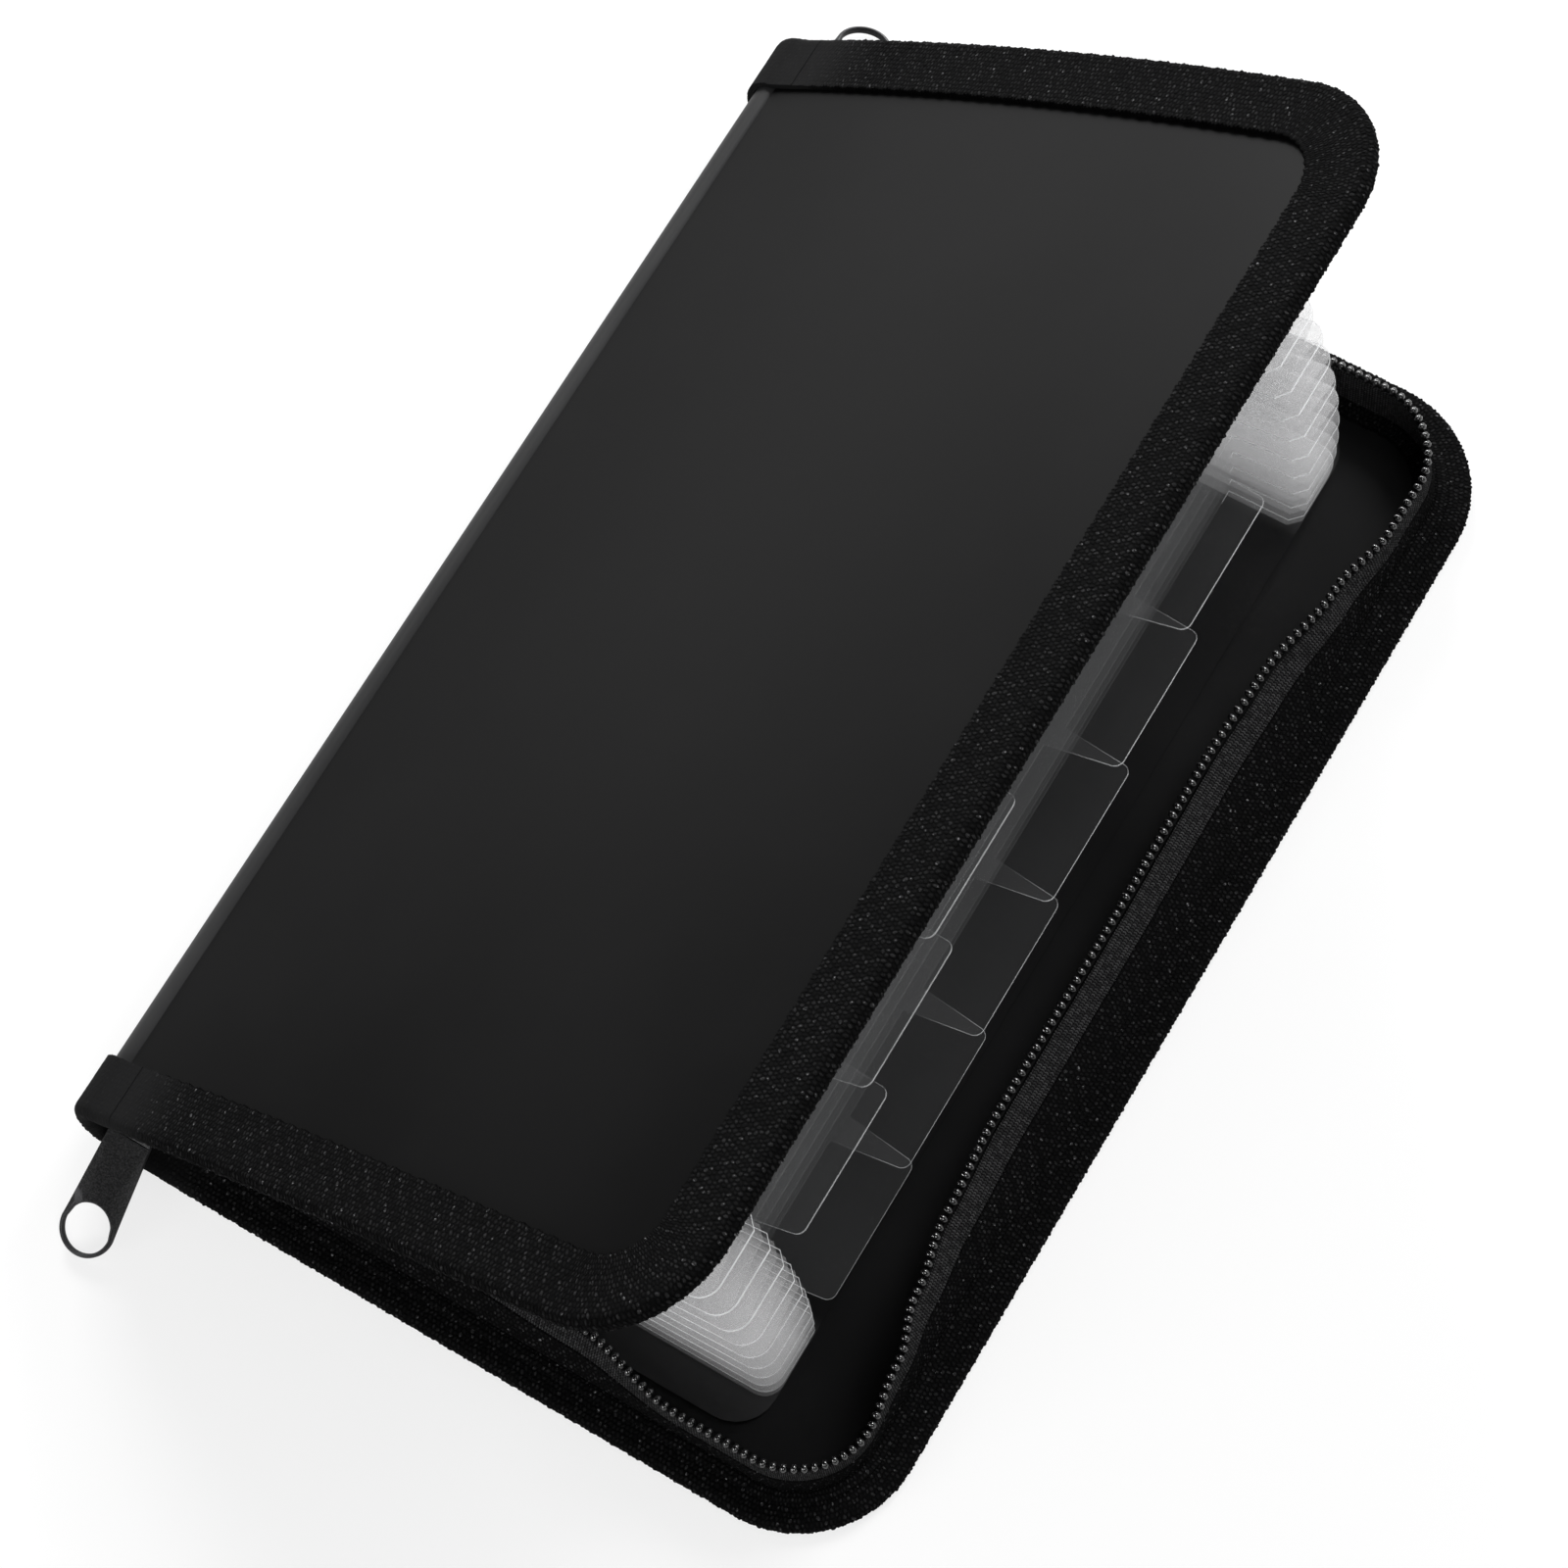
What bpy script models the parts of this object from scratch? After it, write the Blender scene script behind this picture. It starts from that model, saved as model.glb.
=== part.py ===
"""A zip-round accordion file folder, lying on its rear cover with the front cover part raised.

Two plastic covers and a bulged spine have their edges wrapped in woven tape. Twelve tabbed dividers fan
out between the covers, joined at both ends by folded gussets, and two zip sliders are parked at the
ends of the spine. Lengths are metres, +Z is up, the spine runs along Y and the mouth faces +X. The
origin is on the table, at the middle of the whole folder.
"""
import math

import bmesh
import bpy
from mathutils import Vector

# Covers and spine
FOLDER_LENGTH = 0.185
COVER_WIDTH = 0.115
COVER_SHEET = 0.0008
SPINE_HEIGHT = 0.017
SPINE_BULGE = 0.004
CORNER_RADIUS = 0.017
COVER_BOW = 0.003
COVER_OPENING = math.radians(34)
CREASE_BEAD_RADIUS = 0.0004

# Woven tape wrapped over the edges
BINDING_CLOTH = 0.0008
BINDING_FACE = 0.009
BINDING_INNER_FACE = 0.008
BINDING_CREASE_MARGIN = 0.0022

# Accordion
POCKET_COUNT = 13
DIVIDER_SHEET = 0.0003
ACCORDION_END_MARGIN = 0.015
ACCORDION_MOUTH_MARGIN = 0.020
DIVIDER_SPINE_MARGIN = 0.0025
GUSSET_DEPTH = 0.0123
GUSSET_CORNER = 0.003
GUSSET_FILM = 0.00015
FAN_GRADING = 1.2
TAB_COUNT = 6
TAB_HEIGHT = 0.011
TAB_OVERLAP = 0.0027
TAB_SPLAY = 0.00115
TAB_NEAR_GAP = 0.00145
TAB_FAR_GAP = 0.0077
TAB_CORNER = 0.0014
MOUNT_SHEET = 0.0003
MOUNT_SHEET_END_MARGIN = 0.00975
MOUNT_SHEET_CORNER = 0.006

# Zip
ZIP_SEAM_INSET = 0.0055
ZIP_FOOT = 0.002
ZIP_TAPE_WIDTH = 0.0065
ZIP_TAPE_CLOTH = 0.0005
ZIP_COIL_RADIUS = 0.0009
SLIDER_LENGTH = 0.010
SLIDER_WIDTH = 0.008
SLIDER_PLATE = 0.001
SLIDER_WEB = 0.0014
SLIDER_TRAVEL = 0.004
SLIDER_INSET = 0.0115
BAIL_SPAN = 0.0056
BAIL_HEIGHT = 0.0019
BAIL_WIRE_RADIUS = 0.00045
RING_RADIUS = 0.002
RING_WIRE_RADIUS = 0.0004
PULL_REACH = 0.0240
PULL_SHEET = 0.0009
PULL_WIDTH = 0.0066
PULL_ROOT_WIDTH = 0.0046
PULL_END_RADIUS = 0.0041
PULL_HOLE_RADIUS = 0.0035
PULL_EYE_RADIUS = 0.00075
PULL_EYE_WEB = 0.0008

# Fits
RUNNING_GAP = 0.0003
LAID_GAP = 0.00015
FILM_GAP = 0.00012
CUT_OVERRUN = 0.002

# How far the zip leans in, and how much of its tape is free, as shares of the tape's width, at shares of
# its run round the cover
REAR_LEAN_SHARES = (
    (0.00, 0.72), (0.10, 0.66), (0.15, 0.50), (0.20, 0.08), (0.25, 0.08), (0.30, 0.02), (0.325, 0.16),
    (0.35, 0.46), (0.38, 0.71), (0.42, 0.85), (0.50, 0.85), (0.575, 0.90), (0.61, 0.80), (0.65, 0.46),
    (0.68, 0.18), (0.73, 0.12), (0.775, 0.02), (0.83, 0.02), (0.91, 0.60), (1.00, 0.72),
)
REAR_FREE_SHARES = ((0.00, 1.00), (0.12, 1.23), (0.88, 1.23), (1.00, 1.00))
FRONT_LEAN_SHARES = ((0.00, 0.88), (0.50, 0.94), (1.00, 0.88))
FRONT_FREE_SHARES = ((0.00, 1.00), (1.00, 1.00))

# Half widths of the slider from its tail to its nose, as shares of its half width
SLIDER_SHAPE_SHARES = ((0.0, 0.70), (0.12, 0.80), (0.60, 0.86), (0.85, 1.0), (1.0, 0.88))

# Values worked out from the sizes above
COVER_PLANE = BINDING_CLOTH + LAID_GAP + COVER_SHEET / 2
HINGE_HEIGHT = COVER_PLANE + SPINE_HEIGHT
HALF_FOLDER = FOLDER_LENGTH / 2
EDGE_INSET = BINDING_CLOTH + LAID_GAP
FLANGE_LOW = COVER_SHEET / 2 + LAID_GAP
FLANGE_HIGH = FLANGE_LOW + BINDING_CLOTH
SPINE_OUTER = SPINE_BULGE + FLANGE_HIGH
FRAME_SHIFT = -(COVER_WIDTH - SPINE_OUTER) / 2
COVER_START = CREASE_BEAD_RADIUS + RUNNING_GAP
HALF_DIVIDER = HALF_FOLDER - ACCORDION_END_MARGIN
HALF_MOUNT_SHEET = HALF_FOLDER - MOUNT_SHEET_END_MARGIN
GUSSET_REACH = COVER_WIDTH - ACCORDION_MOUTH_MARGIN
DIVIDER_REACH = GUSSET_REACH - TAB_HEIGHT
TAB_ROW = 2 * (HALF_DIVIDER - GUSSET_DEPTH - TAB_SPLAY) - TAB_NEAR_GAP - TAB_FAR_GAP
TAB_PITCH = (TAB_ROW - TAB_OVERLAP) / TAB_COUNT
TAB_LENGTH = TAB_PITCH + TAB_OVERLAP
SHEET_LOW = COVER_SHEET / 2 + RUNNING_GAP
SHEET_HIGH = SHEET_LOW + MOUNT_SHEET
FAN_DEPTH_REAR = SPINE_HEIGHT - SHEET_HIGH
FAN_DEPTH_FRONT = SHEET_HIGH
DIVIDER_COUNT = POCKET_COUNT - 1
POCKET_GAP = (FAN_DEPTH_REAR - FAN_DEPTH_FRONT - DIVIDER_COUNT * DIVIDER_SHEET) / POCKET_COUNT
FOOT_HEIGHT = FLANGE_HIGH + LAID_GAP + ZIP_TAPE_CLOTH / 2
COIL_OFFSET = ZIP_TAPE_CLOTH / 2 + ZIP_COIL_RADIUS
SLIDER_TAIL = -SPINE_BULGE + COVER_SHEET / 2 + RUNNING_GAP * 2
SLIDER_MIDDLE = SLIDER_TAIL + SLIDER_LENGTH / 2
SLIDER_CHANNEL = ZIP_COIL_RADIUS + RUNNING_GAP
SLIDER_HALF_DEPTH = SLIDER_CHANNEL + SLIDER_PLATE
COIL_LANE = SLIDER_WEB / 2 + RUNNING_GAP + ZIP_COIL_RADIUS
ZIP_CLEAR = SLIDER_TAIL + SLIDER_LENGTH + SLIDER_TRAVEL + RUNNING_GAP
PULL_PIVOT_OUT = SLIDER_HALF_DEPTH + BAIL_HEIGHT

# Fineness of the curves, in sections
CORNER_SECTIONS = 6
SMALL_CORNER_SECTIONS = 3
SPINE_SECTIONS = 12
BOW_SECTIONS = 8
ZIP_STEPS = 10
COIL_SIDES = 6
RING_SECTIONS = 14
HOLE_SECTIONS = 24


def clear_scene():
    """Takes every object out of the scene."""
    for thing in list(bpy.data.objects):
        bpy.data.objects.remove(thing, do_unlink=True)


def make_material(name, colour, roughness, metallic=0.0, alpha=1.0):
    """Makes a plain material with a colour, a roughness and a metallic value."""
    material = bpy.data.materials.new(name)
    material.use_nodes = True
    shader = material.node_tree.nodes["Principled BSDF"]
    shader.inputs["Base Color"].default_value = (*colour, 1.0)
    shader.inputs["Roughness"].default_value = roughness
    shader.inputs["Metallic"].default_value = metallic
    shader.inputs["Alpha"].default_value = alpha
    return material


def make_empty(name, place, turn=(0.0, 0.0, 0.0), parent=None):
    """Makes an empty that carries a moving group on its joint's axis."""
    empty = bpy.data.objects.new(name, None)
    bpy.context.scene.collection.objects.link(empty)
    empty.location = place
    empty.rotation_euler = turn
    empty.parent = parent
    return empty


def finish_mesh(name, work, material, parent, place=(0.0, 0.0, 0.0)):
    """Turns a bmesh into a named object with its faces pointing out."""
    bmesh.ops.recalc_face_normals(work, faces=work.faces)
    mesh = bpy.data.meshes.new(name)
    work.to_mesh(mesh)
    work.free()
    mesh.materials.append(material)
    thing = bpy.data.objects.new(name, mesh)
    bpy.context.scene.collection.objects.link(thing)
    thing.location = place
    thing.parent = parent
    return thing


def add_sweep(work, stations, closed=False, open_start=False):
    """Joins outlines of equal point count into a solid and gives back its first ring.

    A twisted side is split along the diagonal that leaves the near outline at the corner closer to that
    outline's first point, so that the two skins of a thin sheet are split alike and never cross.
    """
    rings = [[work.verts.new(point) for point in station] for station in stations]
    pairs = list(zip(rings[:-1], rings[1:]))
    if closed:
        pairs.append((rings[-1], rings[0]))
    for near, far in pairs:
        count = len(near)
        reach = [(corner.co - near[0].co).length for corner in near]
        for index in range(count):
            after = (index + 1) % count
            if reach[index] <= reach[after]:
                work.faces.new((near[index], near[after], far[after]))
                work.faces.new((near[index], far[after], far[index]))
            else:
                work.faces.new((near[index], near[after], far[index]))
                work.faces.new((near[after], far[after], far[index]))
    if not closed:
        work.faces.new(rings[-1])
        if not open_start:
            work.faces.new(rings[0])
    return rings[0]


def add_plate(work, outline, low, high):
    """Extrudes a flat outline of x and y points from one height to another."""
    add_sweep(work, [[(x, y, z) for x, y in outline] for z in (low, high)])


def arc(centre_x, centre_y, radius, start, end, sections):
    """Points on an arc between two angles, ends included."""
    angles = [start + (end - start) * step / sections for step in range(sections + 1)]
    return [(centre_x + radius * math.cos(a), centre_y + radius * math.sin(a)) for a in angles]


def edge_run(start, inset, straight_steps, mouth_steps, corner_steps=CORNER_SECTIONS):
    """Walks round the three open sides of a cover, giving each point and its outward direction."""
    far_x = COVER_WIDTH - inset
    half = HALF_FOLDER - inset
    radius = CORNER_RADIUS - inset
    side_end = far_x - radius
    mouth_end = half - radius
    run = [(start + (side_end - start) * n / straight_steps, -half, 0.0, -1.0) for n in range(straight_steps)]
    quarter = math.pi / 2
    for step in range(corner_steps + 1):
        angle = -quarter + quarter * step / corner_steps
        turn_x, turn_y = math.cos(angle), math.sin(angle)
        run.append((side_end + radius * turn_x, -mouth_end + radius * turn_y, turn_x, turn_y))
    for n in range(1, mouth_steps):
        run.append((far_x, -mouth_end + 2 * mouth_end * n / mouth_steps, 1.0, 0.0))
    mirrored = [(x, -y, nx, -ny) for x, y, nx, ny in reversed(run[:straight_steps + corner_steps + 1])]
    return run + mirrored


def bow(x):
    """Height that the sprung front cover stands above the line from its crease to its mouth."""
    share = x / COVER_WIDTH
    return COVER_BOW * 4 * share * (1 - share)


def flat(_):
    """Height of the rear cover's sheet above its own plane, which is flat."""
    return 0.0


def tongue_stations(start, reach, half, corner, low, high, rise, straight_steps):
    """Rectangular sections of a sheet with rounded mouth corners, from its spine side to its mouth."""
    places = [(start + (reach - corner - start) * n / straight_steps, half) for n in range(straight_steps)]
    for step in range(CORNER_SECTIONS + 1):
        angle = math.pi / 2 * step / CORNER_SECTIONS
        places.append((reach - corner + corner * math.sin(angle), half - corner + corner * math.cos(angle)))
    stations = []
    for x, wide in places:
        lift = rise(x)
        stations.append([(x, -wide, low + lift), (x, wide, low + lift), (x, wide, high + lift),
                         (x, -wide, high + lift)])
    return stations


def build_cover(name, material, parent, start, rise, straight_steps):
    """Builds one plastic cover, on its own plane, inside its binding."""
    work = bmesh.new()
    half = HALF_FOLDER - EDGE_INSET
    corner = CORNER_RADIUS - EDGE_INSET
    stations = tongue_stations(start, COVER_WIDTH - EDGE_INSET, half, corner, -COVER_SHEET / 2,
                               COVER_SHEET / 2, rise, straight_steps)
    add_sweep(work, stations)
    return finish_mesh(name, work, material, parent)


def spine_point(turn, offset):
    """A point on the spine's half ellipse, pushed out along its normal; turn runs 0 to pi, rear to front."""
    half_height = SPINE_HEIGHT / 2
    normal = Vector((-math.sin(turn) * half_height, 0.0, -math.cos(turn) * SPINE_BULGE)).normalized()
    x = -SPINE_BULGE * math.sin(turn) + normal.x * offset
    z = COVER_PLANE + half_height - half_height * math.cos(turn) + normal.z * offset
    return x, z


def build_spine(material, parent):
    """Builds the bulged spine with the round bead of the front crease along its upper edge."""
    work = bmesh.new()
    half = HALF_FOLDER - EDGE_INSET
    outer = [spine_point(math.pi * n / SPINE_SECTIONS, COVER_SHEET / 2) for n in range(SPINE_SECTIONS + 1)]
    inner = [spine_point(math.pi * n / SPINE_SECTIONS, -COVER_SHEET / 2) for n in range(SPINE_SECTIONS + 1)]
    bead = arc(0.0, HINGE_HEIGHT, CREASE_BEAD_RADIUS, math.pi / 2, -math.pi / 2, CORNER_SECTIONS)
    rear_lip = [(RUNNING_GAP, COVER_PLANE + COVER_SHEET / 2), (RUNNING_GAP, COVER_PLANE - COVER_SHEET / 2)]
    profile = outer[:-1] + bead + list(reversed(inner[:-1])) + rear_lip
    add_sweep(work, [[(x, y, z) for x, z in profile] for y in (-half, half)])
    return finish_mesh("spine_panel", work, material, parent)


def binding_section(outer_face, inner_face):
    """The wrapped tape's outline: how far in from the edge, and how far off the sheet's plane."""
    fold = arc(FLANGE_HIGH, 0.0, FLANGE_HIGH, math.pi / 2, 3 * math.pi / 2, CORNER_SECTIONS)
    pocket = [(inner_face, -FLANGE_LOW), (BINDING_CLOTH, -FLANGE_LOW), (BINDING_CLOTH, FLANGE_LOW),
              (outer_face, FLANGE_LOW)]
    return [(outer_face, FLANGE_HIGH)] + fold + [(inner_face, -FLANGE_HIGH)] + pocket


def build_cover_binding(name, material, parent, start, rise, straight_steps, outer_face, inner_face):
    """Sweeps the wrapped tape round the three open sides of a cover."""
    work = bmesh.new()
    section = binding_section(outer_face, inner_face)
    stations = []
    for x, y, out_x, out_y in edge_run(start, 0.0, straight_steps, 1):
        ring = []
        for inward, height in section:
            place_x = x - out_x * inward
            ring.append((place_x, y - out_y * inward, height + rise(place_x)))
        stations.append(ring)
    add_sweep(work, stations)
    return finish_mesh(name, work, material, parent)


def build_spine_end_binding(name, side, material, parent):
    """Wraps tape over one end of the spine, from the rear crease to just short of the front crease."""
    work = bmesh.new()
    margin = BINDING_CREASE_MARGIN / (SPINE_HEIGHT / 2)
    first, last = margin, math.pi - 2 * margin
    stations = []
    for step in range(SPINE_SECTIONS + 1):
        angle = first + (last - first) * step / SPINE_SECTIONS
        ring = []
        for inward, height in binding_section(BINDING_FACE, BINDING_INNER_FACE):
            x, z = spine_point(angle, height)
            ring.append((x, side * (HALF_FOLDER - inward), z))
        stations.append(ring)
    add_sweep(work, stations)
    return finish_mesh(name, work, material, parent)


def fan_angle(level):
    """Angle of a fan level above the rear cover at rest; level 0 is the rear cover."""
    return COVER_OPENING * (level / POCKET_COUNT) ** FAN_GRADING


def sheet_depth(level, upper):
    """Depth of a level's sheet below the hinge, measured square to it: its upper or its lower face."""
    depth = FAN_DEPTH_REAR - level * POCKET_GAP - (level - 1) * DIVIDER_SHEET
    return depth - DIVIDER_SHEET if upper else depth


def divider_outline(tab):
    """Outline of a divider, with an ear at each end for the gussets and one index tab."""
    half = HALF_DIVIDER
    ear = half - GUSSET_DEPTH
    tab_low = -ear + TAB_NEAR_GAP + TAB_SPLAY + tab * TAB_PITCH
    tab_high = tab_low + TAB_LENGTH
    quarter = math.pi / 2
    reach, ear_corner, tab_corner = GUSSET_REACH, GUSSET_CORNER, TAB_CORNER
    points = [(DIVIDER_SPINE_MARGIN, half), (DIVIDER_SPINE_MARGIN, -half)]
    points += arc(reach - ear_corner, -half + ear_corner, ear_corner, -quarter, 0.0, SMALL_CORNER_SECTIONS)
    points += arc(reach - ear_corner, -ear - ear_corner, ear_corner, 0.0, quarter, SMALL_CORNER_SECTIONS)
    points.append((DIVIDER_REACH, -ear))
    points.append((DIVIDER_REACH, tab_low - TAB_SPLAY))
    points += arc(reach - tab_corner, tab_low + tab_corner, tab_corner, -quarter, 0.0, SMALL_CORNER_SECTIONS)
    points += arc(reach - tab_corner, tab_high - tab_corner, tab_corner, 0.0, quarter, SMALL_CORNER_SECTIONS)
    points.append((DIVIDER_REACH, tab_high + TAB_SPLAY))
    points.append((DIVIDER_REACH, ear))
    points += arc(reach - ear_corner, ear + ear_corner, ear_corner, -quarter, 0.0, SMALL_CORNER_SECTIONS)
    points += arc(reach - ear_corner, half - ear_corner, ear_corner, 0.0, quarter, SMALL_CORNER_SECTIONS)
    return points


def build_divider(level, material, folder):
    """Builds one divider on its hinge, lying on its own fan level."""
    number = f"{level:02d}"
    turn = (0.0, -fan_angle(level), 0.0)
    hinge = make_empty(f"divider_hinge_{number}", (0.0, 0.0, HINGE_HEIGHT), turn, folder)
    work = bmesh.new()
    add_plate(work, divider_outline((level - 1) % TAB_COUNT), -sheet_depth(level, False),
              -sheet_depth(level, True))
    return finish_mesh(f"divider_{number}", work, material, hinge)


def fan_point(pocket, along, y, share):
    """A point in a pocket: along is from the hinge, and share runs 0 to 1 from its lower sheet up."""
    lower = FAN_DEPTH_REAR if pocket == 0 else sheet_depth(pocket, True)
    upper = FAN_DEPTH_FRONT - bow(along) if pocket == DIVIDER_COUNT else sheet_depth(pocket + 1, False)
    depth = lower + (upper - lower) * share
    low_angle, high_angle = fan_angle(pocket), fan_angle(pocket + 1)
    angle = low_angle + (high_angle - low_angle) * share
    x = along * math.cos(angle) + depth * math.sin(angle)
    z = along * math.sin(angle) - depth * math.cos(angle)
    return x, y, z


def pocket_height(pocket, along):
    """Free height of a pocket at a distance from the hinge."""
    low = Vector(fan_point(pocket, along, 0.0, 0.0))
    high = Vector(fan_point(pocket, along, 0.0, 1.0))
    return (high - low).length


def gusset_section(pocket, side, along, corner):
    """The folded film's outline across a pocket's end; corner is how much its rounded mouth takes off."""
    height = pocket_height(pocket, along)
    seat = FILM_GAP / height
    film = GUSSET_FILM / height
    joined = GUSSET_DEPTH - GUSSET_CORNER
    start = corner
    end = GUSSET_DEPTH - corner
    low = seat + (0.5 - film - seat) * start / joined
    outline = [(start, low), (joined, 0.5 - film), (end, 0.5 - film), (end, 0.5 + film),
               (joined, 0.5 + film), (start, 1 - low), (start, 1 - low - film), (joined, 0.5),
               (start, low + film)]
    return [fan_point(pocket, along, side * (HALF_DIVIDER - inward), share) for inward, share in outline]


def build_gusset(pocket, material, folder):
    """Builds one pocket's folded ends, grown from the film that closes it at the spine."""
    work = bmesh.new()
    near, far = DIVIDER_SPINE_MARGIN, DIVIDER_SPINE_MARGIN + GUSSET_FILM
    trim = GUSSET_CORNER - FILM_GAP
    wall_near, wall_far, wall_face = [], [], []
    for side in (-1, 1):
        stations = [gusset_section(pocket, side, far, 0.0)]
        for step in range(SMALL_CORNER_SECTIONS + 1):
            angle = math.pi / 2 * step / SMALL_CORNER_SECTIONS
            along = GUSSET_REACH - trim + trim * math.sin(angle)
            stations.append(gusset_section(pocket, side, along, trim * (1 - math.cos(angle))))
        first = add_sweep(work, stations, open_start=True)
        back = [work.verts.new(point) for point in gusset_section(pocket, side, near, 0.0)[5:]]
        back.append(work.verts.new(gusset_section(pocket, side, near, 0.0)[0]))
        edge = first[5:] + first[:1]
        wall_near.extend(back[::side])
        wall_far.extend(edge[::side])
        wall_face.extend(first[:6][::-side])
    work.faces.new(wall_near)
    work.faces.new(wall_face)
    count = len(wall_near)
    for index in range(count):
        after = (index + 1) % count
        work.faces.new((wall_near[index], wall_near[after], wall_far[after], wall_far[index]))
    return finish_mesh(f"pocket_gusset_{pocket + 1:02d}", work, material, folder, (0.0, 0.0, HINGE_HEIGHT))


def build_mount_sheet(name, material, parent, rise, facing):
    """Builds the clear sheet that holds the accordion to a cover, on the side that faces the pockets."""
    work = bmesh.new()
    low, high = sorted((facing * SHEET_LOW, facing * SHEET_HIGH))
    stations = tongue_stations(DIVIDER_SPINE_MARGIN, GUSSET_REACH, HALF_MOUNT_SHEET, MOUNT_SHEET_CORNER,
                               low, high, rise, BOW_SECTIONS)
    add_sweep(work, stations)
    return finish_mesh(name, work, material, parent)


def value_at(share, table):
    """Value of a table at a share of the zip's run, eased between the named places."""
    for (before, low), (after, high) in zip(table[:-1], table[1:]):
        if share <= after:
            part = (share - before) / (after - before)
            eased = part * part * (3 - 2 * part)
            return low + (high - low) * eased
    return table[-1][1]


def zip_frame(share, leans, frees):
    """Inward and upward direction of the zip's free leaf at a share of its run, and the leaf's width."""
    lean = value_at(share, leans)
    return lean, math.sqrt(1 - lean * lean), ZIP_TAPE_WIDTH * value_at(share, frees)


def zip_runs(start, leans, frees):
    """The edge run with the zip leaf's direction and width at each point."""
    run = edge_run(start, 0.0, ZIP_STEPS, 2 * ZIP_STEPS)
    lengths = [0.0]
    for (x0, y0, _, _), (x1, y1, _, _) in zip(run[:-1], run[1:]):
        lengths.append(lengths[-1] + math.hypot(x1 - x0, y1 - y0))
    return [(point, zip_frame(length / lengths[-1], leans, frees)) for point, length in zip(run, lengths)]


def build_zip_tape(name, material, parent, rise, facing, leans, frees):
    """Sweeps the zip's tape: a foot laid on the binding, and a leaf that leans in off the cover."""
    work = bmesh.new()
    half = ZIP_TAPE_CLOTH / 2
    stations = []
    for (x, y, out_x, out_y), (lean, stand, width) in zip_runs(ZIP_CLEAR, leans, frees):
        edge_in = ZIP_SEAM_INSET + width * lean
        edge_up = FOOT_HEIGHT + width * stand
        bend = half * (1 - lean) / (1 + stand)
        foot = ZIP_SEAM_INSET - ZIP_FOOT
        outline = [
            (foot, FOOT_HEIGHT - half), (ZIP_SEAM_INSET + bend, FOOT_HEIGHT - half),
            (edge_in + half * stand, edge_up - half * lean), (edge_in - half * stand, edge_up + half * lean),
            (ZIP_SEAM_INSET - bend, FOOT_HEIGHT + half), (foot, FOOT_HEIGHT + half),
        ]
        ring = []
        for inward, height in outline:
            place_x = x - out_x * inward
            ring.append((place_x, y - out_y * inward, facing * height + rise(place_x)))
        stations.append(ring)
    add_sweep(work, stations)
    return finish_mesh(name, work, material, parent)


def coil_ring(inward, height, x, y, out_x, out_y, rise, facing):
    """One section of a coil, as a ring of points round its middle."""
    ring = []
    for n in range(COIL_SIDES):
        angle = 2 * math.pi * n / COIL_SIDES
        across = inward + ZIP_COIL_RADIUS * math.cos(angle)
        place_x = x - out_x * across
        up = height + ZIP_COIL_RADIUS * math.sin(angle)
        ring.append((place_x, y - out_y * across, facing * up + rise(place_x)))
    return ring


def build_zip_coil(name, material, parent, rise, facing, leans, frees, lane):
    """Sweeps the toothed coil along the tape's free edge, with straight ends in the sliders' channel."""
    work = bmesh.new()
    stations = []
    lift = LAID_GAP + COIL_OFFSET
    for (x, y, out_x, out_y), (lean, stand, width) in zip_runs(ZIP_CLEAR, leans, frees):
        inward = ZIP_SEAM_INSET + (width + lift) * lean
        height = FOOT_HEIGHT + (width + lift) * stand
        stations.append(coil_ring(inward, height, x, y, out_x, out_y, rise, facing))
    if lane is not None:
        edge = HALF_FOLDER
        for end, side in ((0, -1.0), (len(stations), 1.0)):
            extra = [coil_ring(SLIDER_INSET, lane, x, side * edge, 0.0, side, rise, facing)
                     for x in (SLIDER_TAIL, ZIP_CLEAR)]
            stations = extra + stations[1:] if end == 0 else stations[:-1] + extra[::-1]
    add_sweep(work, stations)
    return finish_mesh(name, work, material, parent)


def circle(count, radius):
    """Points on a circle round the origin."""
    return [(radius * math.cos(2 * math.pi * n / count), radius * math.sin(2 * math.pi * n / count))
            for n in range(count)]


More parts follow.
